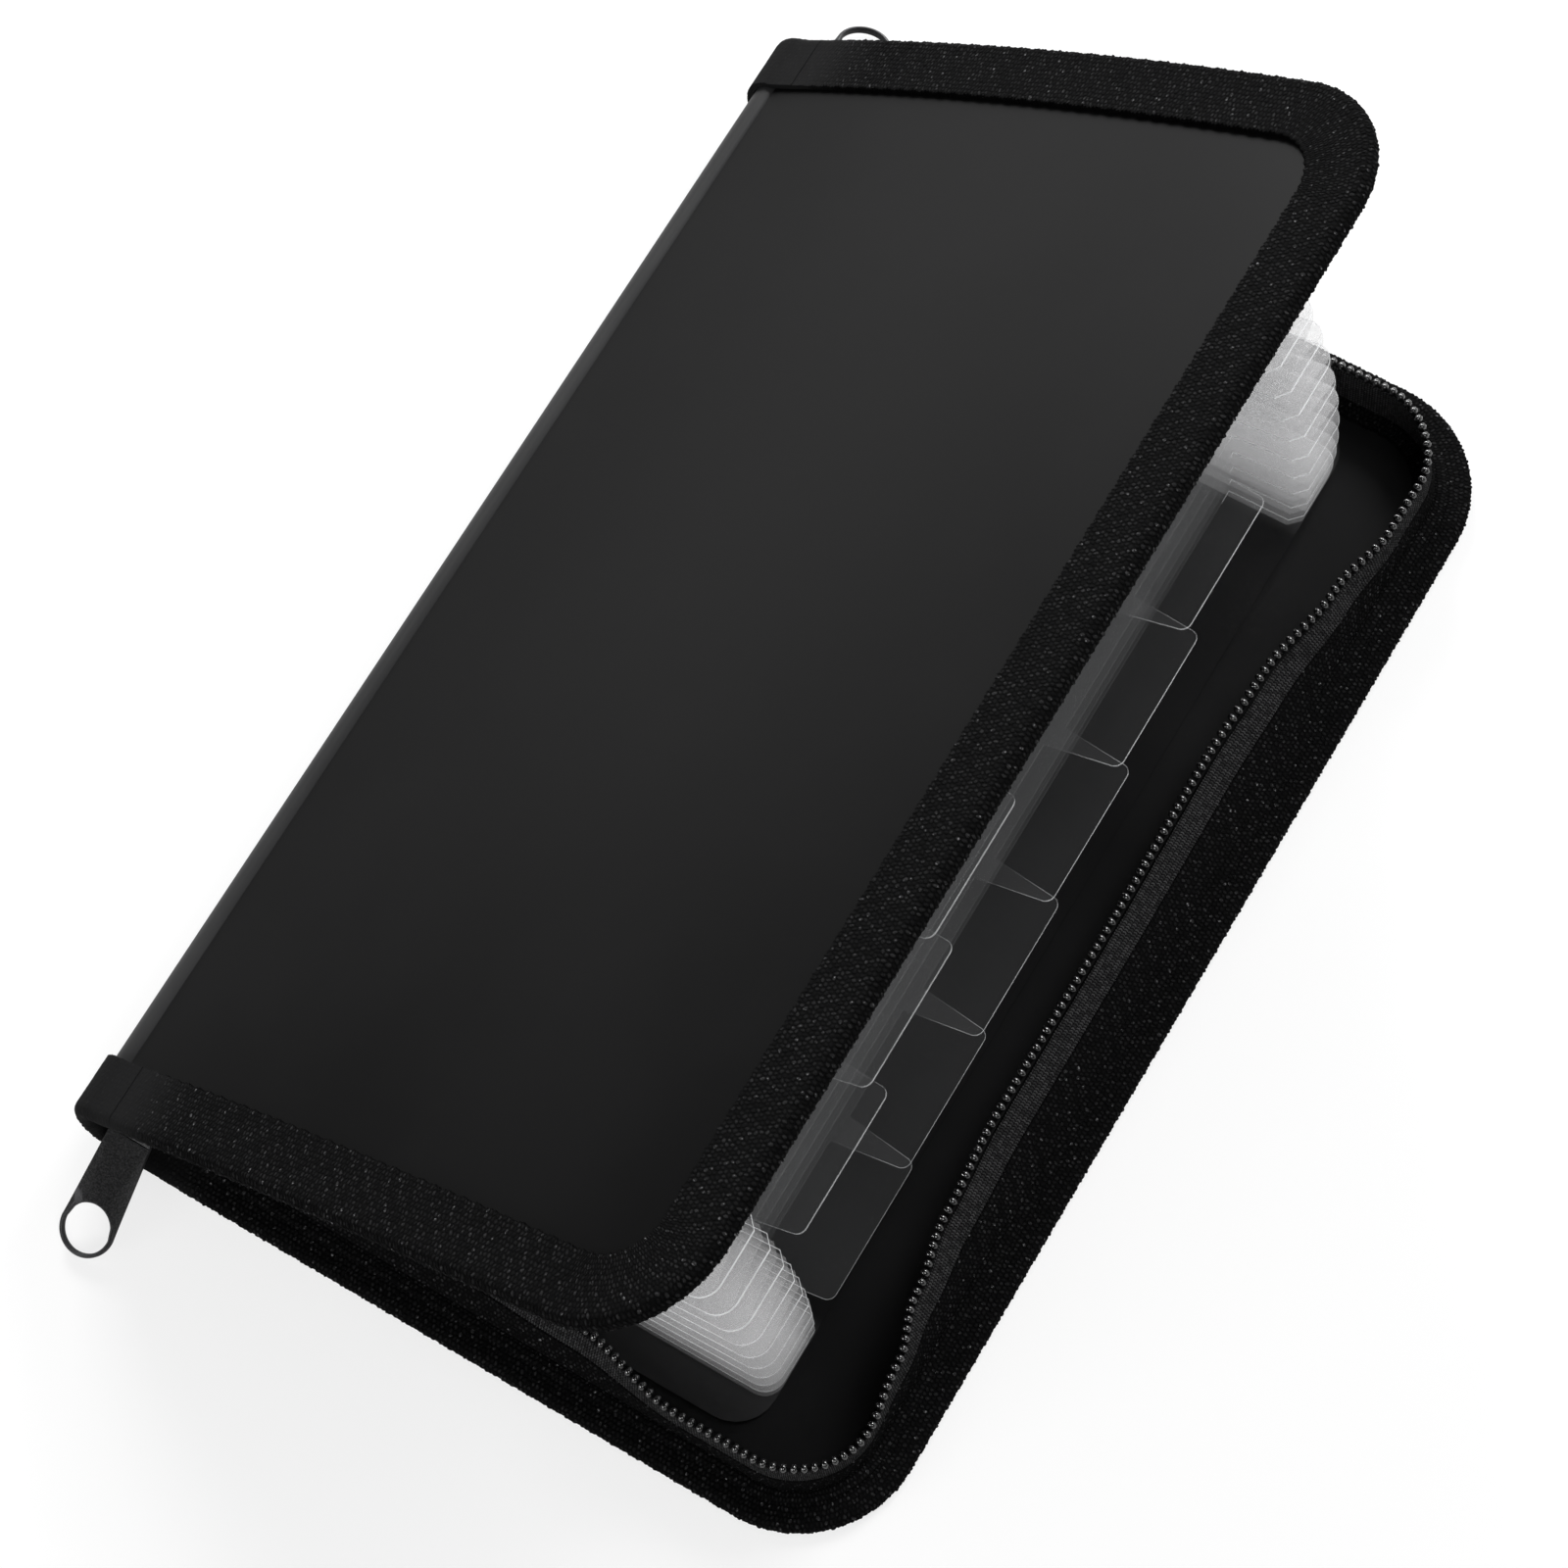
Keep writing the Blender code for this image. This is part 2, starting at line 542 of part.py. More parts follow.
def build_slider(name, side, material, parent):
    """Builds a slider: two plates joined by a web between the zip's halves, with a wire bail outside."""
    work = bmesh.new()
    stations = []
    for share, wide_share in SLIDER_SHAPE_SHARES:
        x = SLIDER_LENGTH * (share - 0.5)
        wide = SLIDER_WIDTH / 2 * wide_share
        deep, channel, web = SLIDER_HALF_DEPTH, SLIDER_CHANNEL, SLIDER_WEB / 2
        outline = [(-deep, -wide), (-channel, -wide), (-channel, -web), (channel, -web), (channel, -wide),
                   (deep, -wide), (deep, wide), (channel, wide), (channel, web), (-channel, web),
                   (-channel, wide), (-deep, wide)]
        stations.append([(x, y, z) for y, z in outline])
    add_sweep(work, stations)
    slider = finish_mesh(name, work, material, parent)

    wire = bmesh.new()
    half = BAIL_SPAN / 2
    root = SLIDER_HALF_DEPTH - SLIDER_PLATE / 2
    bend = BAIL_HEIGHT / 2
    path = [(-half, root), (-half, PULL_PIVOT_OUT - bend), (-half + bend, PULL_PIVOT_OUT),
            (half - bend, PULL_PIVOT_OUT), (half, PULL_PIVOT_OUT - bend), (half, root)]
    slopes = [0.0, math.pi / 8, 3 * math.pi / 8, 5 * math.pi / 8, 7 * math.pi / 8, math.pi]
    rings = []
    for (x, out), slope in zip(path, slopes):
        ring = []
        for across, up in circle(COIL_SIDES, BAIL_WIRE_RADIUS):
            ring.append((x - across * math.cos(slope), side * (out + across * math.sin(slope)), up))
        rings.append(ring)
    add_sweep(wire, rings)
    bail = finish_mesh(f"{name}_bail_guide", wire, material, parent)
    bail.hide_render = True
    bail.display_type = "WIRE"
    union = slider.modifiers.new("bail", "BOOLEAN")
    union.operation = "UNION"
    union.object = bail
    return slider


def build_pull_ring(name, side, material, parent):
    """Builds the small wire ring that links the bail to the pull."""
    work = bmesh.new()
    middle = RING_RADIUS - RING_WIRE_RADIUS - BAIL_WIRE_RADIUS - LAID_GAP
    stations = []
    for n in range(RING_SECTIONS):
        angle = 2 * math.pi * n / RING_SECTIONS
        ring = []
        for across, along in circle(COIL_SIDES, RING_WIRE_RADIUS):
            radius = RING_RADIUS + across
            ring.append((along, side * (middle + radius * math.cos(angle)), radius * math.sin(angle)))
        stations.append(ring)
    add_sweep(work, stations, closed=True)
    return finish_mesh(name, work, material, parent)


def add_cutter(name, radius, place, parent, target):
    """Cuts a round hole through a sheet with a hidden cylinder."""
    work = bmesh.new()
    outline = circle(HOLE_SECTIONS, radius)
    add_plate(work, outline, -CUT_OVERRUN, CUT_OVERRUN)
    cutter = finish_mesh(name, work, target.data.materials[0], parent, place)
    cutter.hide_render = True
    cutter.display_type = "WIRE"
    cut = target.modifiers.new(name, "BOOLEAN")
    cut.operation = "DIFFERENCE"
    cut.object = cutter


def build_pull(name, side, material, parent):
    """Builds the flat pull: a small eye on the ring, straight sides and a big finger hole at its end."""
    ring_middle = RING_RADIUS - RING_WIRE_RADIUS - BAIL_WIRE_RADIUS - LAID_GAP
    eye = ring_middle + RING_RADIUS
    root = eye - PULL_EYE_RADIUS - PULL_EYE_WEB
    hole = PULL_REACH - PULL_END_RADIUS
    half_root = PULL_ROOT_WIDTH / 2
    shoulder = root + PULL_ROOT_WIDTH
    end = arc(0.0, hole, PULL_END_RADIUS, 0.0, math.pi, HOLE_SECTIONS // 2)
    outline = [(-half_root, root), (half_root, root), (PULL_WIDTH / 2, shoulder)] + end
    outline.append((-PULL_WIDTH / 2, shoulder))
    work = bmesh.new()
    add_plate(work, [(x, side * y) for x, y in outline], -PULL_SHEET / 2, PULL_SHEET / 2)
    pull = finish_mesh(name, work, material, parent)
    add_cutter(f"{name}_hole_guide", PULL_HOLE_RADIUS, (0.0, side * hole, 0.0), parent, pull)
    add_cutter(f"{name}_eye_guide", PULL_EYE_RADIUS, (0.0, side * eye, 0.0), parent, pull)
    return pull


def build_zip_end(label, side, metal, folder):
    """Builds one slider with its ring and pull, drooping until the pull's end nears the table."""
    lane = COVER_PLANE + lane_height() + COIL_LANE
    place = (SLIDER_MIDDLE, side * (HALF_FOLDER - SLIDER_INSET), lane)
    body = make_empty(f"slider_{label}_carrier", place, parent=folder)
    build_slider(f"zip_slider_{label}", side, metal, body)
    drop = lane - PULL_SHEET / 2 - RUNNING_GAP
    droop = -side * math.asin(drop / PULL_REACH)
    pivot = make_empty(f"pull_{label}_pivot", (0.0, side * PULL_PIVOT_OUT, 0.0), (droop, 0.0, 0.0), body)
    build_pull_ring(f"zip_ring_{label}", side, metal, pivot)
    build_pull(f"zip_pull_{label}", side, metal, pivot)


def lane_height():
    """Height above the cover's plane of the straight ends of the rear coil."""
    lean, stand, width = zip_frame(0.0, REAR_LEAN_SHARES, REAR_FREE_SHARES)
    return FOOT_HEIGHT + (width + LAID_GAP + COIL_OFFSET) * stand


def build_folder():
    """Builds the whole folder."""
    cover_plastic = make_material("cover_plastic", (0.018, 0.018, 0.019), 0.42)
    woven_tape = make_material("woven_tape", (0.010, 0.010, 0.011), 0.90)
    zip_tape = make_material("zip_tape", (0.012, 0.012, 0.013), 0.85)
    zip_nylon = make_material("zip_nylon", (0.012, 0.012, 0.012), 0.25)
    black_metal = make_material("black_metal", (0.020, 0.020, 0.021), 0.35, 1.0)
    frosted_film = make_material("frosted_film", (0.70, 0.71, 0.72), 0.35, 0.0, 0.45)
    clear_film = make_material("clear_film", (0.55, 0.56, 0.57), 0.20, 0.0, 0.35)

    folder = make_empty("folder", (FRAME_SHIFT, 0.0, 0.0))
    rear = make_empty("rear_plane", (0.0, 0.0, COVER_PLANE), parent=folder)
    front = make_empty("front_cover_hinge", (0.0, 0.0, HINGE_HEIGHT), (0.0, -COVER_OPENING, 0.0), folder)

    build_cover("rear_cover", cover_plastic, rear, 2 * RUNNING_GAP, flat, 1)
    build_spine(cover_plastic, folder)
    build_cover("front_cover", cover_plastic, front, COVER_START, bow, BOW_SECTIONS)

    build_cover_binding("rear_binding", woven_tape, rear, BINDING_CREASE_MARGIN, flat, 1,
                        BINDING_INNER_FACE, BINDING_FACE)
    build_cover_binding("front_binding", woven_tape, front, BINDING_CREASE_MARGIN, bow, BOW_SECTIONS,
                        BINDING_FACE, BINDING_INNER_FACE)
    build_spine_end_binding("spine_end_binding_near", -1, woven_tape, folder)
    build_spine_end_binding("spine_end_binding_far", 1, woven_tape, folder)

    build_mount_sheet("rear_mount_sheet", clear_film, rear, flat, 1)
    build_mount_sheet("front_mount_sheet", clear_film, front, bow, -1)
    for level in range(1, POCKET_COUNT):
        build_divider(level, clear_film, folder)
    for pocket in range(POCKET_COUNT):
        build_gusset(pocket, frosted_film, folder)

    build_zip_tape("rear_zip_tape", zip_tape, rear, flat, 1, REAR_LEAN_SHARES, REAR_FREE_SHARES)
    build_zip_tape("front_zip_tape", zip_tape, front, bow, -1, FRONT_LEAN_SHARES, FRONT_FREE_SHARES)
    build_zip_coil("rear_zip_coil", zip_nylon, rear, flat, 1, REAR_LEAN_SHARES, REAR_FREE_SHARES,
                   lane_height())
    build_zip_coil("front_zip_coil", zip_nylon, front, bow, -1, FRONT_LEAN_SHARES, FRONT_FREE_SHARES, None)
    for label, side in (("near", -1), ("far", 1)):
        build_zip_end(label, side, black_metal, folder)


clear_scene()
build_folder()
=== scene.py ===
"""Looks of a zip-round accordion file folder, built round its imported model.

Lengths are metres. Each sub-assembly is a class that builds its meshes from numpy surfaces and dresses
them, each finish is a class that wires one material, and the studio holds the floor, lamps and camera.
"""

import logging
import math
from dataclasses import dataclass, field
from enum import Enum
from typing import Callable, Optional, Sequence, Union

import bmesh
import bpy
import numpy as np
from mathutils import Matrix


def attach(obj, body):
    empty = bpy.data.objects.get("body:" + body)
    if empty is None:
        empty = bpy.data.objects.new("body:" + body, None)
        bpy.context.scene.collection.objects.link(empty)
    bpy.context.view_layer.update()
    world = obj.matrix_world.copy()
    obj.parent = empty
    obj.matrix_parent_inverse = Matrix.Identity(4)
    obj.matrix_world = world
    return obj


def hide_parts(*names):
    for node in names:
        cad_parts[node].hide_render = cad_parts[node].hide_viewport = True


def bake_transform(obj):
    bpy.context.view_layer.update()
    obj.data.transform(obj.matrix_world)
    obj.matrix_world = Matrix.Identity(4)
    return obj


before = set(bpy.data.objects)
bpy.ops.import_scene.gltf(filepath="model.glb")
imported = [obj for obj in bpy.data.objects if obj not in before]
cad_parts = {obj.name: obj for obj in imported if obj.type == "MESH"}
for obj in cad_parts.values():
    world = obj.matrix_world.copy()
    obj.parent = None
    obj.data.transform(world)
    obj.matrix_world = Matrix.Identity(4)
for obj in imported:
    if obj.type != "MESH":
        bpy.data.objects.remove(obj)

Array = np.ndarray
Colour = tuple[float, float, float]
LOG = logging.getLogger("folder")
TAPE_MAP = "lay"


class Side(Enum):
    """The two ends of the folder along its spine."""

    NEAR = -1
    FAR = 1

    @property
    def label(self) -> str:
        """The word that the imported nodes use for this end."""
        return self.name.lower()


def unit(rows: Array) -> Array:
    """Makes every row of numbers one long."""
    return rows / np.maximum(np.linalg.norm(rows, axis=-1, keepdims=True), 1e-12)


def blunt(value: Array, power: float) -> Array:
    """Power of a value that keeps its sign; it squares off a circle."""
    return np.sign(value) * np.abs(value) ** power


def placed(name: str, data: bpy.types.ID) -> bpy.types.Object:
    """Makes an object of its data and puts it into the scene."""
    thing = bpy.data.objects.new(name, data)
    bpy.context.scene.collection.objects.link(thing)
    return thing


def aim(thing: bpy.types.Object, *axes_and_place: Array) -> None:
    """Sets a lamp's or camera's right, up and backward axes and its place."""
    matrix = np.eye(4)
    matrix[:3] = np.stack(axes_and_place, 1)
    thing.matrix_world = Matrix(matrix.tolist())


def stand_in(piece: bpy.types.Object, body: str, node: str) -> None:
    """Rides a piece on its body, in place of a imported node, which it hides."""
    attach(piece, body)
    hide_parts(node)


class Wire:
    """A node's output; arithmetic on it adds Math nodes."""

    def __init__(self, graph: "Graph", socket: bpy.types.NodeSocket) -> None:
        """Keeps the graph and the socket."""
        self.graph = graph
        self.socket = socket

    def __add__(self, other: "Value") -> "Wire":
        """Sum."""
        return self.graph.maths("ADD", self, other)

    def __sub__(self, other: "Value") -> "Wire":
        """Difference."""
        return self.graph.maths("SUBTRACT", self, other)

    def __rsub__(self, other: "Value") -> "Wire":
        """Difference, the other way round."""
        return self.graph.maths("SUBTRACT", other, self)

    def __mul__(self, other: "Value") -> "Wire":
        """Product."""
        return self.graph.maths("MULTIPLY", self, other)

    def __truediv__(self, other: "Value") -> "Wire":
        """Quotient."""
        return self.graph.maths("DIVIDE", self, other)

    def __pow__(self, other: "Value") -> "Wire":
        """Power."""
        return self.graph.maths("POWER", self, other)

    __radd__ = __add__
    __rmul__ = __mul__

    def floor(self) -> "Wire":
        """Whole part."""
        return self.graph.maths("FLOOR", self)

    def part(self) -> "Wire":
        """Part after the whole number."""
        return self.graph.maths("FRACT", self)

    def sine(self) -> "Wire":
        """Sine of an angle in radians."""
        return self.graph.maths("SINE", self)

    def size(self) -> "Wire":
        """Value without its sign."""
        return self.graph.maths("ABSOLUTE", self)

    def at_least(self, low: "Value") -> "Wire":
        """The larger of this and low."""
        return self.graph.maths("MAXIMUM", self, low)

    def at_most(self, high: "Value") -> "Wire":
        """The smaller of this and high."""
        return self.graph.maths("MINIMUM", self, high)

    def ease(self, start: float, end: float) -> "Wire":
        """Smooth step from 0 at start to 1 at end.

        Args:
            start: value that gives 0.
            end: value that gives 1.

        Returns:
            The eased share.
        """
        settings = {"interpolation_type": "SMOOTHSTEP"}
        made = self.graph.node("ShaderNodeMapRange", settings, {0: self, 1: start, 2: end, 3: 0.0, 4: 1.0})
        return Wire(self.graph, made.outputs[0])


Value = Union[Wire, float, Colour]


class Graph:
    """A node tree that is filled from empty."""

    def __init__(self, owner: Union[bpy.types.Material, bpy.types.World]) -> None:
        """Empties the tree of a material or a world."""
        self.owner = owner
        owner.use_nodes = True
        self.tree = owner.node_tree
        self.tree.nodes.clear()

    @classmethod
    def named(cls, name: str) -> "Graph":
        """Starts a new material of that name."""
        return cls(bpy.data.materials.new(name))

    def node(self, kind: str, settings: dict, values: dict) -> bpy.types.Node:
        """Adds one node.

        Args:
            kind: the node's type.
            settings: its own properties, set first.
            values: what each input holds or is linked to, by name or place.

        Returns:
            The new node.
        """
        made = self.tree.nodes.new(kind)
        for key, value in settings.items():
            setattr(made, key, value)
        for key, value in values.items():
            socket = made.inputs[key]
            if isinstance(value, Wire):
                self.tree.links.new(value.socket, socket)
            elif isinstance(value, tuple) and len(value) == 3 and socket.type == "RGBA":
                socket.default_value = (*value, 1.0)
            else:
                socket.default_value = value
        return made

    def out(self, made: bpy.types.Node, place: Union[int, str] = 0) -> Wire:
        """Wraps one output of a node."""
        return Wire(self, made.outputs[place])

    def maths(self, operation: str, *values: Value) -> Wire:
        """Adds one Math node on the values."""
        return self.out(self.node("ShaderNodeMath", {"operation": operation}, dict(enumerate(values))))

    def mix(self, share: Value, low: Value, high: Value) -> Wire:
        """Colour that goes from low to high with share."""
        made = self.node("ShaderNodeMix", {"data_type": "RGBA"}, {0: share, 6: low, 7: high})
        return self.out(made, 2)

    def place(self) -> Wire:
        """The point on the object, in metres."""
        return self.out(self.node("ShaderNodeTexCoord", {}, {}), "Object")

    def lay(self) -> tuple[Wire, Wire]:
        """The two lengths, in metres, that a piece's own map gives along and across it."""
        found = self.node("ShaderNodeUVMap", {"uv_map": TAPE_MAP}, {})
        split = self.node("ShaderNodeSeparateXYZ", {}, {0: self.out(found)})
        return self.out(split, 0), self.out(split, 1)

    def pair(self, first: Value, second: Value) -> Wire:
        """Puts two numbers into one vector."""
        return self.out(self.node("ShaderNodeCombineXYZ", {}, {0: first, 1: second}))

    def noise(self, scale: float, detail: float = 2.0, where: Optional[Wire] = None) -> Wire:
        """Smooth noise of that many cells a metre."""
        values = {"Vector": where or self.place(), "Scale": scale, "Detail": detail}
        return self.out(self.node("ShaderNodeTexNoise", {}, values))

    def chance(self, where: Wire) -> Wire:
        """One random number for each whole cell."""
        return self.out(self.node("ShaderNodeTexWhiteNoise", {"noise_dimensions": "2D"}, {"Vector": where}))

    def bump(self, height: Wire, depth: float, strength: float = 1.0) -> Wire:
        """Normal that shows a height of that depth in metres."""
        made = self.node("ShaderNodeBump", {}, {"Height": height, "Distance": depth, "Strength": strength})
        return self.out(made)

    def shader(self, **sockets: Value) -> Wire:
        """Adds the main shader; words are its sockets' names with underscores."""
        values = {key.replace("_", " "): value for key, value in sockets.items()}
        return self.out(self.node("ShaderNodeBsdfPrincipled", {}, values))

    def finish(self, surface: Wire) -> bpy.types.Material:
        """Sends a shader to the output and gives back the material."""
        self.node("ShaderNodeOutputMaterial", {}, {"Surface": surface})
        return self.owner


@dataclass(frozen=True)
class Finish:
    """One named material; each kind wires its own shader."""

    name: str

    def wire(self, graph: Graph) -> Wire:
        """Wires the shader and gives its output."""
        raise NotImplementedError

    def make(self) -> bpy.types.Material:
        """Makes the material."""
        graph = Graph.named(self.name)
        return graph.finish(self.wire(graph))


@dataclass(frozen=True)
class SheetPlastic(Finish):
    """Satin black plastic sheet with a fine grain, faint scuffs and a little dust."""

    colour: Colour
    roughness: float
    shine: float = 0.10
    grain: float = 0.000004
    dust: float = 0.5
    # ends is a painted reflection of the bright ears, shown past them.
    ends: Optional[Colour] = None

    def wire(self, graph: Graph) -> Wire:
        """Wires the shader.

        Dust is a dot round the middle of some cells of a Voronoi pattern, and scuffs are soft noise. Where
        ends is given, the sheet is painted paler past the accordion's ears: a painted reflection of the
        bright ears.
        """
        cells = graph.node("ShaderNodeTexVoronoi", {}, {"Vector": graph.place(), "Scale": 75.0})
        tint = graph.node("ShaderNodeSeparateColor", {}, {0: graph.out(cells, "Color")})
        near = 1 - graph.out(cells, "Distance").ease(0.009, 0.017)
        dots = near * graph.out(tint, 0).ease(0.62, 0.66) * self.dust
        cloud = graph.noise(24.0, 4.0)
        fine = graph.noise(2600.0, 3.0)
        pale = tuple(part * 1.35 + 0.0008 for part in self.colour)
        body = graph.mix(cloud.ease(0.35, 0.70), self.colour, pale)
        # Painted reflection: paler past the accordion's ears.
        if self.ends:
            place = graph.node("ShaderNodeSeparateXYZ", {}, {0: graph.place()})
            body = graph.mix(graph.out(place, 1).size().ease(0.0640, 0.0675), body, self.ends)
        base = graph.mix(dots, body, (0.22, 0.22, 0.22))
        rough = self.roughness + (cloud - 0.5) * 0.08 + (fine - 0.5) * 0.03
        normal = graph.bump(fine, self.grain)
        return graph.shader(Base_Color=base, Roughness=rough, Normal=normal, Specular_IOR_Level=self.shine)


def wave(value: Union[Wire, Array]) -> Union[Wire, Array]:
    """Sine of an angle in radians, for meshes and materials alike."""
    return value.sine() if isinstance(value, Wire) else np.sin(value)


def whole(value: Union[Wire, Array]) -> Union[Wire, Array]:
    """Whole part, for meshes and materials alike."""
    return value.floor() if isinstance(value, Wire) else np.floor(value)


def risen(value: Union[Wire, Array]) -> Union[Wire, Array]:
    """Value with what is below zero made zero, for meshes and materials alike."""
    return value.at_least(0.0) if isinstance(value, Wire) else np.clip(value, 0.0, None)


@dataclass(frozen=True)
class Weave:
    """Thread crowns of a coarse webbing, in staggered cells like bricks."""

    pitch: float = 0.00066
    row: float = 0.00070

    def cell(self, along: Union[Wire, Array], across: Union[Wire, Array]) -> tuple:
        """Finds the crown at a place.

        Rows and columns wander on slow sines, every other row is half a pitch along, and a crown is the
        root of one minus the squares of the distances from its cell's middle, times a height of its own.

        Args:
            along: length along the tape, in metres.
            across: length across the tape, in metres.

        Returns:
            The crown from 0 to 1, its cell's column and row, and the place in the cell each way.
        """
        lane = across / self.row + wave(along * 1370.0) * 0.10 + wave(along * 3900.0 + across * 2300.0) * 0.10
        number = whole(lane)
        odd = number * 0.5 - whole(number * 0.5)
        step = along / self.pitch + odd + wave(across * 2900.0 + along * 610.0) * 0.10
        step = step + wave(along * 3100.0 + number * 2.4) * 0.10
        column = whole(step)
        wide = (step - column - 0.5) / 0.42
        high = (lane - number - 0.5) / 0.50
        own = wave(column * 2.1 + number * 3.7) * wave(column * 0.83 - number * 1.31) * 0.40 + 0.60
        return risen(1 - wide * wide - high * high) ** 0.5 * own, column, number, wide, high


WEAVE = Weave()


@dataclass(frozen=True)
class Webbing(Finish):
    """Coarse black webbing: raised thread crowns, painted lighter on their tops and darker in the gaps as
    painted light and shade, and a few fibres with a painted glint.
    """

    # thread is painted light on a crown's top, gap is painted shade between crowns, glint is a painted
    # highlight.
    thread: Colour = (0.0260, 0.0260, 0.0266)
    gap: Colour = (0.0019, 0.0019, 0.0020)
    glint: Colour = (0.150, 0.150, 0.154)
    depth: float = 0.00030
    worn_from: float = -0.0510
    worn_to: float = -0.0390

    def wire(self, graph: Graph) -> Wire:
        """Wires the shader.

        Fine waves on each crown are its twisted fibres, and a few of them carry a painted glint. The crowns'
        tops are painted lighter and the gaps darker, as painted light and shade. Near the crease, where the
        tape was pressed flat, the crowns fade.
        """
        along, across = graph.lay()
        crown, column, number, wide, high = WEAVE.cell(along, across)
        place = graph.node("ShaderNodeSeparateXYZ", {}, {0: graph.place()})
        fresh = graph.out(place, 0).ease(self.worn_from, self.worn_to)
        luck = graph.chance(graph.pair(column, number))
        fibres = ((wide * 2.4 + high * 1.3) * math.pi).sine() * 0.5 + 0.5
        fuzz = graph.noise(5200.0, 2.0)
        relief = crown * (fresh * 0.85 + 0.15) + fibres * crown * fresh * 0.16 + fuzz * 0.10
        # Painted light and shade: lighter on the crowns' tops, darker in the gaps.
        lit = crown * crown * (luck * 1.0 + 0.15) * (fuzz * 1.3 + 0.25)
        body = graph.mix((lit * fresh + (1 - fresh) * 0.24).at_most(1.0), self.gap, self.thread)
        # Painted glints: a few bright spots on the crowns.
        painted_glint_mask = graph.noise(3400.0, 1.0).ease(0.60, 0.70) * crown.ease(0.45, 0.85) * luck.ease(0.45, 0.90)
        base = graph.mix(painted_glint_mask * (fresh * 0.9 + 0.1), body, self.glint)
        rough = 0.80 - crown * (luck * 0.25)
        normal = graph.bump(relief, self.depth)
        return graph.shader(Base_Color=base, Roughness=rough, Normal=normal, Specular_IOR_Level=0.03)


@dataclass(frozen=True)
class Knit(Finish):
    """Fine ribbed tape of the zip, with chevron stitches."""

    rib: float = 0.00042
    course: float = 0.00070
    # thread is painted light on the ribs' tops, gap is painted shade in the valleys.
    thread: Colour = (0.0420, 0.0420, 0.0428)
    gap: Colour = (0.0006, 0.0006, 0.0007)

    def wire(self, graph: Graph) -> Wire:
        """Wires the shader.

        A chevron is a rib whose phase shifts with the distance from its course's middle. The ribs' tops are
        painted lighter and the valleys between courses darker, as painted light and shade.
        """
        along, across = graph.lay()
        level = across / self.course
        slant = (level.part() - 0.5).size() * 0.9
        step = along / self.rib + slant
        luck = graph.chance(graph.pair(step.floor(), level.floor()))
        rib = (step * (2 * math.pi)).sine() * 0.5 + 0.5
        valley = 1 - (level.part() - 0.5).size().ease(0.36, 0.50)
        fuzz = graph.noise(6000.0, 2.0)
        relief = rib * (valley * 0.6 + 0.4) + fuzz * 0.20
        # Painted light on the ribs and painted shade in the valleys between courses.
        lit = rib * valley * (luck * 0.8 + 0.3) + fuzz * 0.15
        base = graph.mix(lit.at_most(1.0), self.gap, self.thread)
        normal = graph.bump(relief, 0.00009)
        return graph.shader(Base_Color=base, Roughness=0.80 - rib * luck * 0.25, Normal=normal,
                            Specular_IOR_Level=0.02)


@dataclass(frozen=True)
class Film(Finish):
    """Clear or frosted plastic film; each of its skins hides only a little of what is behind."""

    colour: Colour
    haze: float
    roughness: float = 0.30
    streaks: float = 0.0
    near: Optional[Colour] = None

    def wire(self, graph: Graph) -> Wire:
        """Wires the shader; streaks are noise stretched along the spine, clouds are soft noise.

        Where near is given, the film is painted paler towards the near end, going over to it along the spine:
        painted light.
        """
        along, across = graph.lay()
        cloud = graph.noise(45.0, 2.0)
        lines = graph.noise(1.0, 2.0, graph.pair(along * 700.0, across * 16.0))
        veil = self.haze * ((cloud - 0.5) * 0.5 + 1.0 + (lines - 0.5) * self.streaks)
        pale = tuple(min(1.0, part * 1.12) for part in self.colour)
        body = graph.mix(cloud, self.colour, pale)
        # Painted light: paler towards the near end.
        if self.near:
            body = graph.mix(across.ease(-0.060, 0.060), self.near, body)
        return graph.shader(Base_Color=body, Roughness=self.roughness,
                            Alpha=veil.at_most(1.0).at_least(0.0), Specular_IOR_Level=0.5)


@dataclass(frozen=True)
class FilmEdge(Finish):
    """Bright cut edge of a film, where light leaves the sheet, as a painted highlight."""

    colour: Colour = (0.86, 0.87, 0.88)
    base: float = 0.02
    tab: float = 0.25
    ear: float = 0.46
    lowest: float = 0.50

    def wire(self, graph: Graph) -> Wire:
        """Wires the shader: the painted highlight is bright on the ears, fainter on the tabs and faint along
        their foot.

        An ear's mouth edge fades from its fold to its corner, and its long side is bright again.
        The lowest divider's map reaches past the others', and its long edge is the brightest.
        """
        along, across = graph.lay()
        uneven = graph.noise(260.0, 2.0).ease(0.30, 0.70)
        mouth = along.ease(0.0850, 0.0945) * (self.tab - self.base) + self.base
        end = across.size()
        faint = end.ease(0.0660, 0.0720) * along.ease(0.0885, 0.0925) * 0.60
        ears = end.ease(0.0640, 0.0650) * (1 - faint) * self.ear + end.ease(0.0777, 0.0783) * self.lowest
        veil = mouth.at_least(ears) * (uneven * 0.30 + 0.70)
        return graph.shader(Base_Color=self.colour, Roughness=0.30, Alpha=veil.at_most(1.0))


@dataclass(frozen=True)
class Filament(Finish):
    """Glossy black filament of the zip's coil."""

    def wire(self, graph: Graph) -> Wire:
        """Wires the shader, with faint rub marks in its gloss."""
        rub = graph.noise(1800.0, 2.0)
        base = graph.mix(rub, (0.0016, 0.0016, 0.0017), (0.0044, 0.0044, 0.0046))
        return graph.shader(Base_Color=base, Roughness=0.14 + rub * 0.14, Specular_IOR_Level=0.15,
                            Coat_Weight=1.0, Coat_Roughness=0.02, Coat_IOR=1.8)


